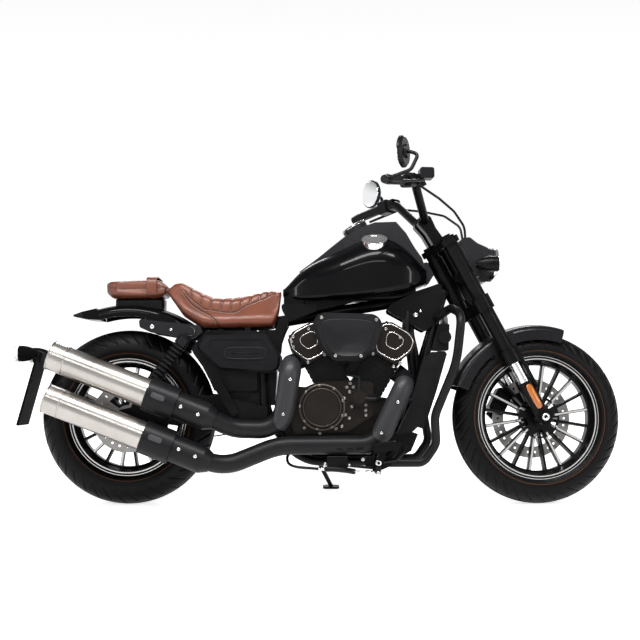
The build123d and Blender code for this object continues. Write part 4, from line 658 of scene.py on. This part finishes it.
SEAM_SIDE = curve([(209, 790), (233, 760), (263, 736), (287, 718), (317, 714), (365, 706),
                   (404, 709), (437, 730), (479, 748), (521, 766), (551, 787)], 24)
SEAM_SKIRT = curve([(204, 783), (234, 741), (270, 714), (300, 699), (327, 675), (345, 648)], 24)
PILLION_SEAM = curve([(-70, 806), (-40, 797), (20, 796), (90, 797), (136, 800)], 40)
# Smoothing passes, and how far painted shade darkens the deepest pressed lines.
SMOOTHED, PRESSED_SHADE_SHARE = 2, 0.75
PLEATS = (246, 282, 318, 355, 390, 425, 459, 492, 522)
PLEAT_LEAN, PLEAT_WIDE, PLEAT_DEEP, PLEAT_FADE = -0.16, 4.6, 3.4, 8
SEAM_DEEP, SEAM_WIDE, SEAM_FROM = 2.4, 2.2, 45  # pressed in only this far from the middle

tan = hide("tan leather", (0.135, 0.034, 0.0135), (0.045, 0.011, 0.005), 0.4)
brown = hide("pillion leather", (0.12, 0.031, 0.013), (0.042, 0.010, 0.005), 0.4)


def seat(name, net, material, seams, pleats):
    """Blows a cushion up, cuts its net finer and presses lines into it. Gives its skin."""
    net = blown(net)
    net = finer(smoother(net, SMOOTHED), FINER)
    flat = net.reshape(-1, 3)
    pressed = np.zeros(len(flat))
    beside = np.abs(flat[:, 1]) > SEAM_FROM
    for seam in seams:
        near = gap_to(flat[:, ::2], seam) / SEAM_WIDE
        pressed = np.maximum(pressed, SEAM_DEEP * np.exp(-near ** 2) * beside)
    if pleats:
        line_z = np.interp(flat[:, 0], *seams[0].T)
        above = np.clip((flat[:, 2] - line_z) / PLEAT_FADE, 0, 1)
        leaning = PLEAT_LEAN * (np.interp(flat[:, 0], *np.array(SEAT_TOP, float).T) - flat[:, 2])
        near = np.min([np.abs(flat[:, 0] - x - leaning) for x in pleats], axis=0) / PLEAT_WIDE
        pressed = np.maximum(pressed, PLEAT_DEEP * np.exp(-near ** 2) * above)
    made = net - pressed.reshape(*net.shape[:2], 1) * outward(net)
    points, faces = closed_net(made)
    # Each point keeps how deep it was pressed, as a mark that lays painted shade there.
    leather = piece(f"{name}_leather", [(points, faces)], material,
                    replaces=[name], marks={"pressed_shade": pressed / PLEAT_DEEP})
    return BVHTree.FromPolygons(made.reshape(-1, 3).tolist(), faces.tolist())


rider_net = soft_net(SEAT_TOP, SEAT_LOW, SEAT_WIDE, *SEAT_NET)
pillion_net = soft_net(PILLION_TOP, PILLION_LOW, PILLION_WIDE, *PILLION_NET)
skin = seat("rider_seat", rider_net, tan, (SEAM_SIDE, SEAM_SKIRT), PLEATS)
seat("pillion_seat", pillion_net, brown, (PILLION_SEAM,), ())


def rope(path, radius, sides=10, place=at, closed=False, across=(0, 1, 0), flat=1.0):
    """A bar along a path: path + radius * (cos a * side + flat * sin a * over), ends closed."""
    path = np.asarray(path, float)
    run = np.roll(path, -1, 0) - np.roll(path, 1, 0) if closed else np.gradient(path, axis=0)
    run /= np.linalg.norm(run, axis=1, keepdims=True)
    side = np.cross(run, across)
    side /= np.linalg.norm(side, axis=1, keepdims=True)
    over = np.cross(side, run)
    width = np.full(len(path), float(radius))
    if not closed:
        path, side, over = (np.concatenate([v[:1], v, v[-1:]]) for v in (path, side, over))
        width = np.concatenate([[0], width, [0]])
    angle = np.linspace(0, tau, sides, endpoint=False)[None, :, None]
    points = path[:, None] + width[:, None, None] * (
        np.cos(angle) * side[:, None] + flat * np.sin(angle) * over[:, None])
    return place(points.reshape(-1, 3)), grid_faces(len(path), sides, closed, True)


# ---------------- spokes
# Cast aluminium under black paint: rounded webs that thicken each spoke round its machined
# face, each a flattened bar from the hub to the rim's well.
WEB_HALF, WEB_OUT, WEB_FROM, WEB_SHORT, WEB_STEPS = 6.4, 0.37, 48, 27, 12
for name, axle_x, tyre_r, tyre_half, rim_r, rim_half, place in WHEELS:
    webs = []
    for turn in FIRST_SPOKE + np.arange(WEBS) * SPOKE_TURN / 2:
        ray = np.array([cos(turn), 0, sin(turn)])
        reach = np.linspace(WEB_FROM, rim_r - WEB_SHORT, WEB_STEPS)[:, None]
        path = np.array([axle_x, 0, tyre_r]) + ray * reach
        webs.append(rope(path, WEB_HALF, 20, place, flat=WEB_OUT * rim_half / WEB_HALF))
    paint = bpy.data.materials[f"{name} wheel paint"]
    piece(f"{name}_spoke_webs", webs, paint, f"{name}_wheel")

# ---------------- stitches and pillion strap
# Waxed thread in two rows along each seam, a leather strap over the pillion and the plastic
# base that it stands on.
STITCH, STITCH_GAP, STITCH_ASIDE, THREAD_R, THREAD_LIFT = 5.4, 8.2, 4.2, 0.95, 0.3
SEAM_START, SEAM_END, WELL_ASIDE = 10, 12, 300
stitches = []
for seam in (SEAM_SIDE, SEAM_SKIRT):
    run = np.concatenate([[0], np.cumsum(np.linalg.norm(np.diff(seam, axis=0), axis=1))])
    for start in np.arange(SEAM_START, run[-1] - SEAM_END, STITCH_GAP):
        spots = start + STITCH * np.array([0, 0.33, 0.67, 1])
        spots = np.array([np.interp(spots, run, c) for c in seam.T]).T
        ahead = spots[-1] - spots[0]
        aside = np.array([-ahead[1], ahead[0]]) / np.linalg.norm(ahead) * STITCH_ASIDE
        for offset in (aside, -aside):
            for side_of in (-1, 1):
                path = []
                for x, z in spots + offset:
                    beside = Vector((x, side_of * WELL_ASIDE, z))
                    hit = skin.ray_cast(beside, Vector((0, -side_of, 0)))[0]
                    if hit is not None:
                        path.append((x, hit.y + side_of * THREAD_LIFT, z))
                if len(path) == 4:
                    stitches.append(rope(path, THREAD_R, 6))
thread = coated("waxed thread", (0.035, 0.014, 0.009), 0.5, scale=2500, depth=0.3)
piece("rider_seat_stitches", stitches, thread)

STRAP_X, STRAP_LIFT, STRAP_FOOT, STRAP_MIDDLE = 90, 3.5, 775, (0, 740)
STRAP_SECTION = np.array([(-19, -2), (-19, 1.5), (-17.5, 3), (17.5, 3), (19, 1.5), (19, -2)])
loop = pillion_net[int(np.argmin(np.abs(pillion_net[:, 0, 0] - STRAP_X)))][:, 1:]
loop = loop[loop[:, 1] > STRAP_FOOT]
loop = curve(loop[np.argsort(np.arctan2(loop[:, 0], loop[:, 1] - STRAP_MIDDLE[1]))], 3)
lift = np.gradient(loop, axis=0)[:, ::-1] * (-1, 1)
lift /= np.linalg.norm(lift, axis=1, keepdims=True)
lift *= np.sign(np.sum(lift * (loop - STRAP_MIDDLE)))
strap = np.empty((len(loop), len(STRAP_SECTION), 3))
strap[..., 0] = STRAP_X + STRAP_SECTION[:, 0]
strap[..., 1:] = loop[:, None] + lift[:, None] * (STRAP_SECTION[None, :, 1:] + STRAP_LIFT)
piece("pillion_strap", [closed_net(strap)], brown, smooth=False)
BASE_TOP, BASE_LOW = ((-50, 762), (130, 764)), ((-50, 716), (130, 716))
base = soft_net(BASE_TOP, BASE_LOW, ((-50, 57), (130, 57)), 24, 48, 0.2, 14)
piece("pillion_base", [closed_net(base)], black_plastic,
      replaces=["pillion_seat"])

# ---------------- bolts
# Socket screws of bright and of dull steel, each a small turned drum with a sunk middle. Its
# foot stands a little inside the piece that it holds.


def frame_of(axis):
    """The axis as a unit vector, and two more square to it and to one another."""
    axis = np.asarray(axis, float) / np.linalg.norm(axis)
    side = np.cross(axis, (0, 0, 1) if abs(axis[2]) < 0.9 else (1, 0, 0))
    side /= np.linalg.norm(side)
    return axis, side, np.cross(axis, side)


def lathe(profile, foot, axis, steps=40, place=at, ring=False):
    """A turned surface: foot + along * axis + radius * (cos a * side + sin a * over)."""
    axis, side, over = frame_of(axis)
    along, radius = (column[:, None, None] for column in np.array(profile, float).T)
    a = np.linspace(0, tau, steps, endpoint=False)[None, :, None]
    points = np.asarray(foot, float) + along * axis + radius * (np.cos(a) * side + np.sin(a) * over)
    return place(points.reshape(-1, 3)), grid_faces(len(profile), steps, ring, True)


def bolt(foot, radius, axis=RIGHT, high=None, place=at):
    """A socket head: a short drum with a rounded rim and a sunk middle."""
    high = high or 0.8 * radius
    floor_of = high - 0.5 * radius
    profile = [(-1.5, 0), (-1.5, radius), (high - 0.25 * radius, radius), (high, 0.75 * radius),
               (high, 0.48 * radius), (floor_of, 0.44 * radius), (floor_of, 0)]
    return lathe(profile, foot, axis, 16, place)


def pad(outline, normal, levels, place=at):
    """A raised patch: each row is centre + scale * (outline - centre) + height * normal."""
    outline = np.asarray(outline, float)
    centre = outline.mean(0)
    rows = [centre + scale * (outline - centre) + height * normal for scale, height in levels]
    return place(np.concatenate(rows)), grid_faces(len(levels), len(outline), False, True)


def rounded(centre, along, over, length, width, power=0.4):
    """A rounded oblong's outline round a centre, its long side along a direction."""
    a = np.linspace(0, tau, 40, endpoint=False)[:, None]
    across, up = (np.sign(v) * np.abs(v) ** power / 2 for v in (np.cos(a), np.sin(a)))
    return np.asarray(centre, float) + across * length * along + up * width * over


def circle_of(count, radius, x, z, first):
    """Spots spaced evenly on a circle about (x, z)."""
    turns = np.arange(count) * tau / count + first
    return [(x + radius * cos(a), z + radius * sin(a)) for a in turns]


CASE_BOLTS = ((653, 285), (709, 266), (768, 282), (790, 290), (817, 320), (803, 332), (826, 362),
              (797, 377), (799, 392), (818, 416), (808, 433), (821, 447), (832, 433), (878, 368),
              (877, 348), (878, 331), (854, 418))
HEAD_BOLTS = ((669, 646), (612, 618), (606, 600), (612, 579), (666, 524), (726, 552), (904, 555),
              (979, 508), (1003, 521), (951, 646), (1004, 615))
FILTER_BOLTS = ((715, 684), (913, 676), (765, 546), (857, 545))
SHIELD_BOLTS = ((603, 461), (577, 337), (988, 380), (929, 269))
SLEEVE_BOLTS = ((218, 365), (279, 338), (212, 216), (270, 191))
CRANK, CLUTCH = np.array([824.0, 324.0]), np.array([717.0, -146.0, 360.0])
# (x, z) spots, the y of the face below the head, and the head's radius
BRIGHT = ((((96, 654),), -124, 9), (((165, 644),), -124, 6), (SHIELD_BOLTS, -221, 6),
          (SLEEVE_BOLTS, -288.5, 7), (((1066, 701),), -66, 9), (((1084, 716),), -66, 5),
          (((1084, 378),), -100, 7))
DULL = ((CASE_BOLTS, -127.5, 6.2), (circle_of(9, 80, 717, 360, 0.3), -146, 5),
        (HEAD_BOLTS, -129.5, 6.5), (FILTER_BOLTS, -207, 6.5))
shiny, dull = (
    [bolt((x, y, z), radius) for spots, y, radius in table for x, z in spots]
    for table in (BRIGHT, DULL)
)
STRUT_EYE = (236, -124, 637)
STRUT_CAP = [(-2, 0), (-2, 17), (3, 17), (6, 13), (6, 7), (3, 6), (3, 0)]
shiny.append(lathe(STRUT_CAP, STRUT_EYE, RIGHT, 32))
piece("bright_bolts", shiny, pale_metal)
piece("side_bolts", dull, fastener)
LEFT_COVER_Y = 124.0
left = [bolt((x, LEFT_COVER_Y, z), 5, LEFT) for x, z in circle_of(8, 84, *CRANK, 0.2)]
piece("left_cover_bolts", left, fastener)

# ---------------- engine trims
# Thin machined lines inside the edges of both head covers, a raised panel on the filter's cover,
# bronze rings round the clutch, and the slot of the side cover, whose raised rim is lighter as a
# painted highlight and whose slit is a dark line of painted shade.
LEANS = (radians(-28.5), radians(29.5))
HEAD_COVER = np.array([(-46, 247), (46, 247), (78, 318), (70, 358), (40, 376), (-40, 376),
                       (-70, 358), (-78, 318)])
HEAD_LINES, HEAD_LINE_Y = ((0.88, 1.8), (0.42, 1.2)), 130.2  # scale and radius of each line
FILTER = np.array([(668, 704), (950, 696), (908, 566), (858, 527), (764, 527), (712, 570)])


def bank_point(lean, ahead, up, y):
    """A point of a cylinder bank that leans ahead by this angle about the crank."""
    return (CRANK[0] + ahead * cos(lean) + up * sin(lean), y,
            CRANK[1] - ahead * sin(lean) + up * cos(lean))


def softened(corners, steps, times):
    """An outline through the corners, its points moved to the mean of three, so many times."""
    sides = zip(corners, np.roll(corners, -1, 0))
    edge = np.concatenate([wall(ends, steps)[:-1] for ends in sides])
    for _ in range(times):
        edge = (edge + np.roll(edge, 1, 0) + np.roll(edge, -1, 0)) / 3
    return edge


head_lines = []
middle = HEAD_COVER.mean(0)
for lean in LEANS:
    for scale, radius in HEAD_LINES:
        edge = softened(middle + (HEAD_COVER - middle) * scale, 9, 3)
        for y in (-HEAD_LINE_Y, HEAD_LINE_Y):
            path = [bank_point(lean, ahead, up, y) for ahead, up in edge]
            head_lines.append(rope(path, radius, 8, closed=True, flat=0.6))
piece("head_cover_lines", head_lines, pale_metal)

PANEL_SCALE, PANEL_Y = 0.80, -208.0
PANEL = ((0, -2), (1, -2), (1, 1.2), (0.985, 3), (0.93, 3), (0.915, 2), (0, 2))
middle = FILTER.mean(0)
edge = middle + (softened(FILTER, 13, 14) - middle) * PANEL_SCALE
outline = np.stack([edge[:, 0], np.full(len(edge), PANEL_Y), edge[:, 1]], axis=1)
filter_black = coated("filter cover", (0.0075, 0.0075, 0.0085), 0.34, "air_filter", scale=900,
                      depth=0.15)
piece("filter_panel", [pad(outline, RIGHT, PANEL)], filter_black)

CLUTCH_RIM = [(-2, 75), (0.8, 75.5), (2.4, 78), (2.4, 83), (0.6, 85.5), (-2, 85.5)]
CLUTCH_LINE = [(23.2, 66), (24.8, 67), (24.8, 68.5), (23.2, 69.5)]
bronze = coated("bronze rings", (0.075, 0.062, 0.052), 0.3, metallic=0.8, scale=500, depth=0.15)
piece("clutch_rings", [lathe(CLUTCH_RIM, CLUTCH, RIGHT, 96, ring=True),
                       lathe(CLUTCH_LINE, CLUTCH, RIGHT, 72, ring=True)], bronze)
COVER_SLOT, SLOT_LONG, SLOT_HIGH, SLOT_EDGE_R = (438, -157, 557), 150, 42, 1.3
SLIT, SLIT_R = [(x, -157.4, 557) for x in (392, 410, 438, 466, 484)], 1.6
# The slot's rim is a raised rope of a lighter tone: painted highlight on the cover's edge.
slot_edge = rounded(COVER_SLOT, FRONT, UP, SLOT_LONG, SLOT_HIGH, 0.5)
piece("cover_slot_edge", [rope(slot_edge, SLOT_EDGE_R, 8, closed=True, flat=0.6)],
      nacelle_black)
# Its slit is a thin rope of darker black: painted shade where the slit is.
piece("cover_slits", [rope(SLIT, SLIT_R, 8, flat=0.5)], satin_black)

# ---------------- wiring
# Looms and hoses in black rubber sleeves, strapped below the tank and down behind the head
# panel. Each is a round bundle along a curve.
TANK_LOOM = ((650, 745), (740, 757), (838, 764), (930, 768), (1010, 773), (1052, 790))
DOWN_LOOM = ((1052, 0, 716), (1046, -6, 640), (1062, 0, 560), (1070, 6, 470), (1062, 0, 400))
LOOM_R = 11
looms = [[(x, y, z + lift) for x, z in TANK_LOOM]
         for y, lift in ((-46, 0), (-24, 3), (20, 3), (42, 0))]
looms += [[(x + shift, y + aside, z) for x, aside, z in DOWN_LOOM]
          for y, shift in ((-58, -14), (-34, 6), (-10, -10), (16, 4), (44, -12))]
piece("wiring_looms", [rope(curve(path, 8), LOOM_R, 16) for path in looms], black_plastic)

# ---------------- exhaust trims
# Bright end rims on the silencers, stamped patches on their collars and three dark pads of painted
# shadow for the slots in the lower pipe.
CAN_LENGTH = 116 + 112 + 372  # sleeve, collar and can
CAN_FEET = ((306, -240.0, 328), (292, -240.0, 176))
CAN_BANDS = ((CAN_LENGTH - 3, 52.2), (CAN_LENGTH - 60, 52.0))  # along the can, and radius
CAN_END = [(-6, 39), (-1, 40.5), (0.8, 44), (0.8, 49), (-1, 51.6), (-6, 51.6)]
BAND = ((-2.5, -2), (-2, 1.2), (0, 1.9), (2, 1.2), (2.5, -2))
ends = []
for foot in np.array(CAN_FEET):
    for run, radius in CAN_BANDS:
        section = [(along, radius + out) for along, out in BAND]
        ends.append(lathe(section, foot + run * CAN_RUN, CAN_RUN, 72, ring=True))
    ends.append(lathe(CAN_END, foot + CAN_LENGTH * CAN_RUN, CAN_RUN, 72, ring=True))
piece("silencer_rims", ends, stainless)
PATCH = ((0, -3), (1, -3), (1, 2.0), (0.94, 2.8), (0, 2.8))
PATCH_SPOTS, PATCH_LONG, PATCH_HIGH = ((138.5, -300.2, 399.5), (130, -300.2, 252.5)), 50, 20
patches = [pad(rounded(place, CAN_RUN, CAN_OVER, PATCH_LONG, PATCH_HIGH), RIGHT, PATCH)
           for place in PATCH_SPOTS]
patch_grey = coated("stamped grey", (0.05, 0.05, 0.054), 0.42, scale=500)
piece("collar_patches", patches, patch_grey)
SLOT = ((0, -4), (1, -4), (1, 0.7), (0.9, 0.9), (0, 0.9))
PIPE_SLOTS = [(x, -217.0, 217) for x in (779, 816, 851)]
# Painted shadow: raised black pads stand in for the shade inside the pipe's three slots.
slot_painted_shadow = coated("slot shadow", (0.002, 0.002, 0.002), 0.7, specular=0.1)
slots = [pad(rounded(place, FRONT, UP, 27, 17, 0.7), RIGHT, SLOT) for place in PIPE_SLOTS]
piece("pipe_slots", slots, slot_painted_shadow)

# ---------------- pedal hardware
# The brake pedal's pivot, its push rod and the fittings of the pump below the lower pipe: steel
# screws and rods, with black rubber over the pump and its hose.
PLATE_FACE, ARM_FACE, ROD_Y, PUMP_Y = -188.0, -248.0, -243, -196
# x, face, z, radius and height
PEDAL_BOLTS = ((917, ARM_FACE, 165, 11, 5), (864, PLATE_FACE, 174, 7, None),
               (932, PLATE_FACE, 182, 6, None), (916, ARM_FACE, 130, 7, 4),
               (783, PLATE_FACE, 163, 12, 4), (728, PLATE_FACE, 158, 5, None),
               (814, PLATE_FACE, 154, 5, None))
# points and radius
PEDAL_RODS = (([(828, ROD_Y, 134), (868, ROD_Y, 132), (912, ROD_Y, 130)], 3.6),
              ([(872, ROD_Y, 132), (888, ROD_Y, 131.5), (904, ROD_Y, 131)], 6.5),
              ([(704, PUMP_Y, 140), (716, PUMP_Y, 140), (730, PUMP_Y, 140)], 6))
PUMP_BODY = [(728, PUMP_Y, 140), (760, -200, 140), (800, -215, 137), (830, ROD_Y, 134)]
PUMP_HOSE = [(706, PUMP_Y, 140), (680, -198, 143), (628, -190, 147), (598, -176, 158),
             (592, -160, 182), (610, -140, 205)]
PEDAL_ARM = [(917, -243.5, 170), (917, -243.5, 148), (916, -243.5, 124)]
hardware = [bolt((x, y, z), radius, high=high) for x, y, z, radius, high in PEDAL_BOLTS]
hardware += [rope(path, radius, 12) for path, radius in PEDAL_RODS]
piece("pedal_hardware", hardware, pale_metal)
arms = [rope(PEDAL_ARM, 9, 16, flat=0.5), rope(curve(PUMP_BODY, 8), 10, 16),
        rope(curve(PUMP_HOSE, 8), 5, 12)]
piece("pedal_links", arms, black_plastic)

# ---------------- instrument and cap
# A chromed rim round a glossy black dial with plain printed ticks and a needle, and the chromed
# ring of the fuel cap. All are turned about their axes.
DIAL, DIAL_AXIS = np.array([838.0, 0.0, 1040.0]), np.array([-0.5, 0.0, 0.8660254])
DIAL_RIM = [(0, 41.5), (2.4, 42.5), (3, 44.5), (2.2, 47), (-4, 48.2), (-6, 46)]
DIAL_FACE = [(-3.5, 0), (-3.5, 42), (-2.4, 42), (-2.0, 40), (-2.0, 0)]
# turn, height above the rim's foot, reaches and radius of the ticks and of the needle
TICKS = [(turn, -1.9, (33, 35, 37), 0.45) for turn in np.radians(np.arange(-120, 121, 8))]
NEEDLE = (-1.9, -1.2, (-6, 10, 32), 0.8)
CAP, CAP_AXIS = np.array([912.0, -103.0, 970.0]), np.array([-0.05, -0.5, 0.86])
CAP_RIM = [(9.4, 30), (11, 32), (11, 38), (9.6, 41), (9.2, 30)]
piece("dial_rim", [lathe(DIAL_RIM, DIAL, DIAL_AXIS, 96, ring=True)], chrome)
glass_black = coated("dial face", (0.004, 0.004, 0.005), 0.12, coat=1.0, scale=200, depth=0.0)
piece("dial_face", [lathe(DIAL_FACE, DIAL, DIAL_AXIS, 72)], glass_black)
pale_mark = coated("pale print", (0.6, 0.6, 0.58), 0.5, depth=0.0)
_, dial_side, dial_over = frame_of(DIAL_AXIS)
marks = []
for turn, height, reaches, radius in (*TICKS, NEEDLE):
    ray = np.cos(turn) * dial_over + np.sin(turn) * dial_side
    path = [DIAL + height * DIAL_AXIS + ray * reach for reach in reaches]
    marks.append(rope(path, radius, 6, across=DIAL_AXIS))
piece("dial_marks", marks, pale_mark)
piece("cap_rim", [lathe(CAP_RIM, CAP, CAP_AXIS, 72, ring=True)], chrome)

# ---------------- lamps, reflectors and mirrors
# A chromed rim, moulded lenses with domed faces, amber reflectors and silvered mirror glasses.
# The reflectors are raised pads on the fork's covers, and the rest is turned.
LAMP, LAMP_TILT = np.array([1371.0, 0.0, 893.0]), radians(9)
LAMP_AXIS = np.array([cos(LAMP_TILT), 0.0, -sin(LAMP_TILT)])
LAMP_RIM = [(-9, 60.2), (1.5, 60.2), (3.4, 62), (2.6, 65), (-4, 66), (-9, 65.5)]
LAMP_GLASS = [(-6, 0), (-6, 59.6), (3, 59.6), (9, 54), (15, 38), (18, 18), (19, 0)]
SIGNAL_DOME = [(-4, 0), (-4, 27.5), (0.5, 28), (3, 25), (5.5, 16), (6.5, 0)]
SIGNAL_COVER = [(-15, 27), (-15, 29.5), (-1, 29.5), (0.6, 27.5), (0.6, 0), (-15, 0)]
REFLECTOR = ((0, -3), (1, -3), (1, 0.5), (0.95, 1.6), (0, 1.8))
MIRROR_GLASS = [(-2, 0), (-2, 52), (3.6, 52), (4.2, 50.5), (4.2, 0)]
AXLE_END, AXLE_CAP_R, AXLE_CAP_HIGH = (1522, 138.5, 318), 15, 5
FRONT_SIGNAL, REAR_SIGNAL = (1356, 138, 880), (-404, 120, 556)
REFLECTOR_AT, REFLECTOR_LONG, REFLECTOR_WIDE = (55, 130, 85), 98, 25  # from the fork's foot
MIRROR, MIRROR_AXIS = np.array([958, 366, 1238]), np.array([-0.886, -0.463, 0])
BOTH = [np.array([1, side, 1]) for side in (-1, 1)]  # turns a place into its right or left one
rim, glass = (lathe(profile, LAMP, LAMP_AXIS, 96, steered, ring)
              for profile, ring in ((LAMP_RIM, True), (LAMP_GLASS, False)))
piece("lamp_rim", [rim], chrome, "steering")
piece("lamp_glass", [glass], clear, "steering", ["headlamp_lens"])
caps = [bolt(side * AXLE_END, AXLE_CAP_R, side * LEFT, AXLE_CAP_HIGH, steered) for side in BOTH]
piece("axle_caps", caps, pale_metal, "steering")
amber = coated("amber lens", (0.36, 0.10, 0.006), 0.2, coat=0.3, scale=400, depth=0.05,
               specular=0.6)
piece("front_signal_lenses", [lathe(SIGNAL_DOME, side * FRONT_SIGNAL, FRONT, 48, steered)
                              for side in BOTH], clear, "steering")
piece("rear_signal_lenses", [lathe(SIGNAL_COVER, side * REAR_SIGNAL, -FRONT, 48)
                             for side in BOTH], clear)
reflectors = []
for side in BOTH:
    centre = FORK_FOOT + (side * REFLECTOR_AT) @ np.array([FORK_AHEAD, LEFT, FORK_UP])
    outline = rounded(centre, FORK_UP, FORK_AHEAD, REFLECTOR_LONG, REFLECTOR_WIDE, 0.5)
    reflectors.append(pad(outline, side * LEFT, REFLECTOR, steered))
piece("fork_reflectors", reflectors, amber, "steering")
mirror_glass = coated("mirror glass", (0.86, 0.87, 0.88), 0.03, metallic=1.0, scale=100,
                      depth=0.0, spread=0.0, amount=0.0)
glasses = [lathe(MIRROR_GLASS, side * MIRROR, side * MIRROR_AXIS, 72, steered)
           for side in BOTH[::-1]]
piece("mirror_glasses", glasses, mirror_glass, "steering")
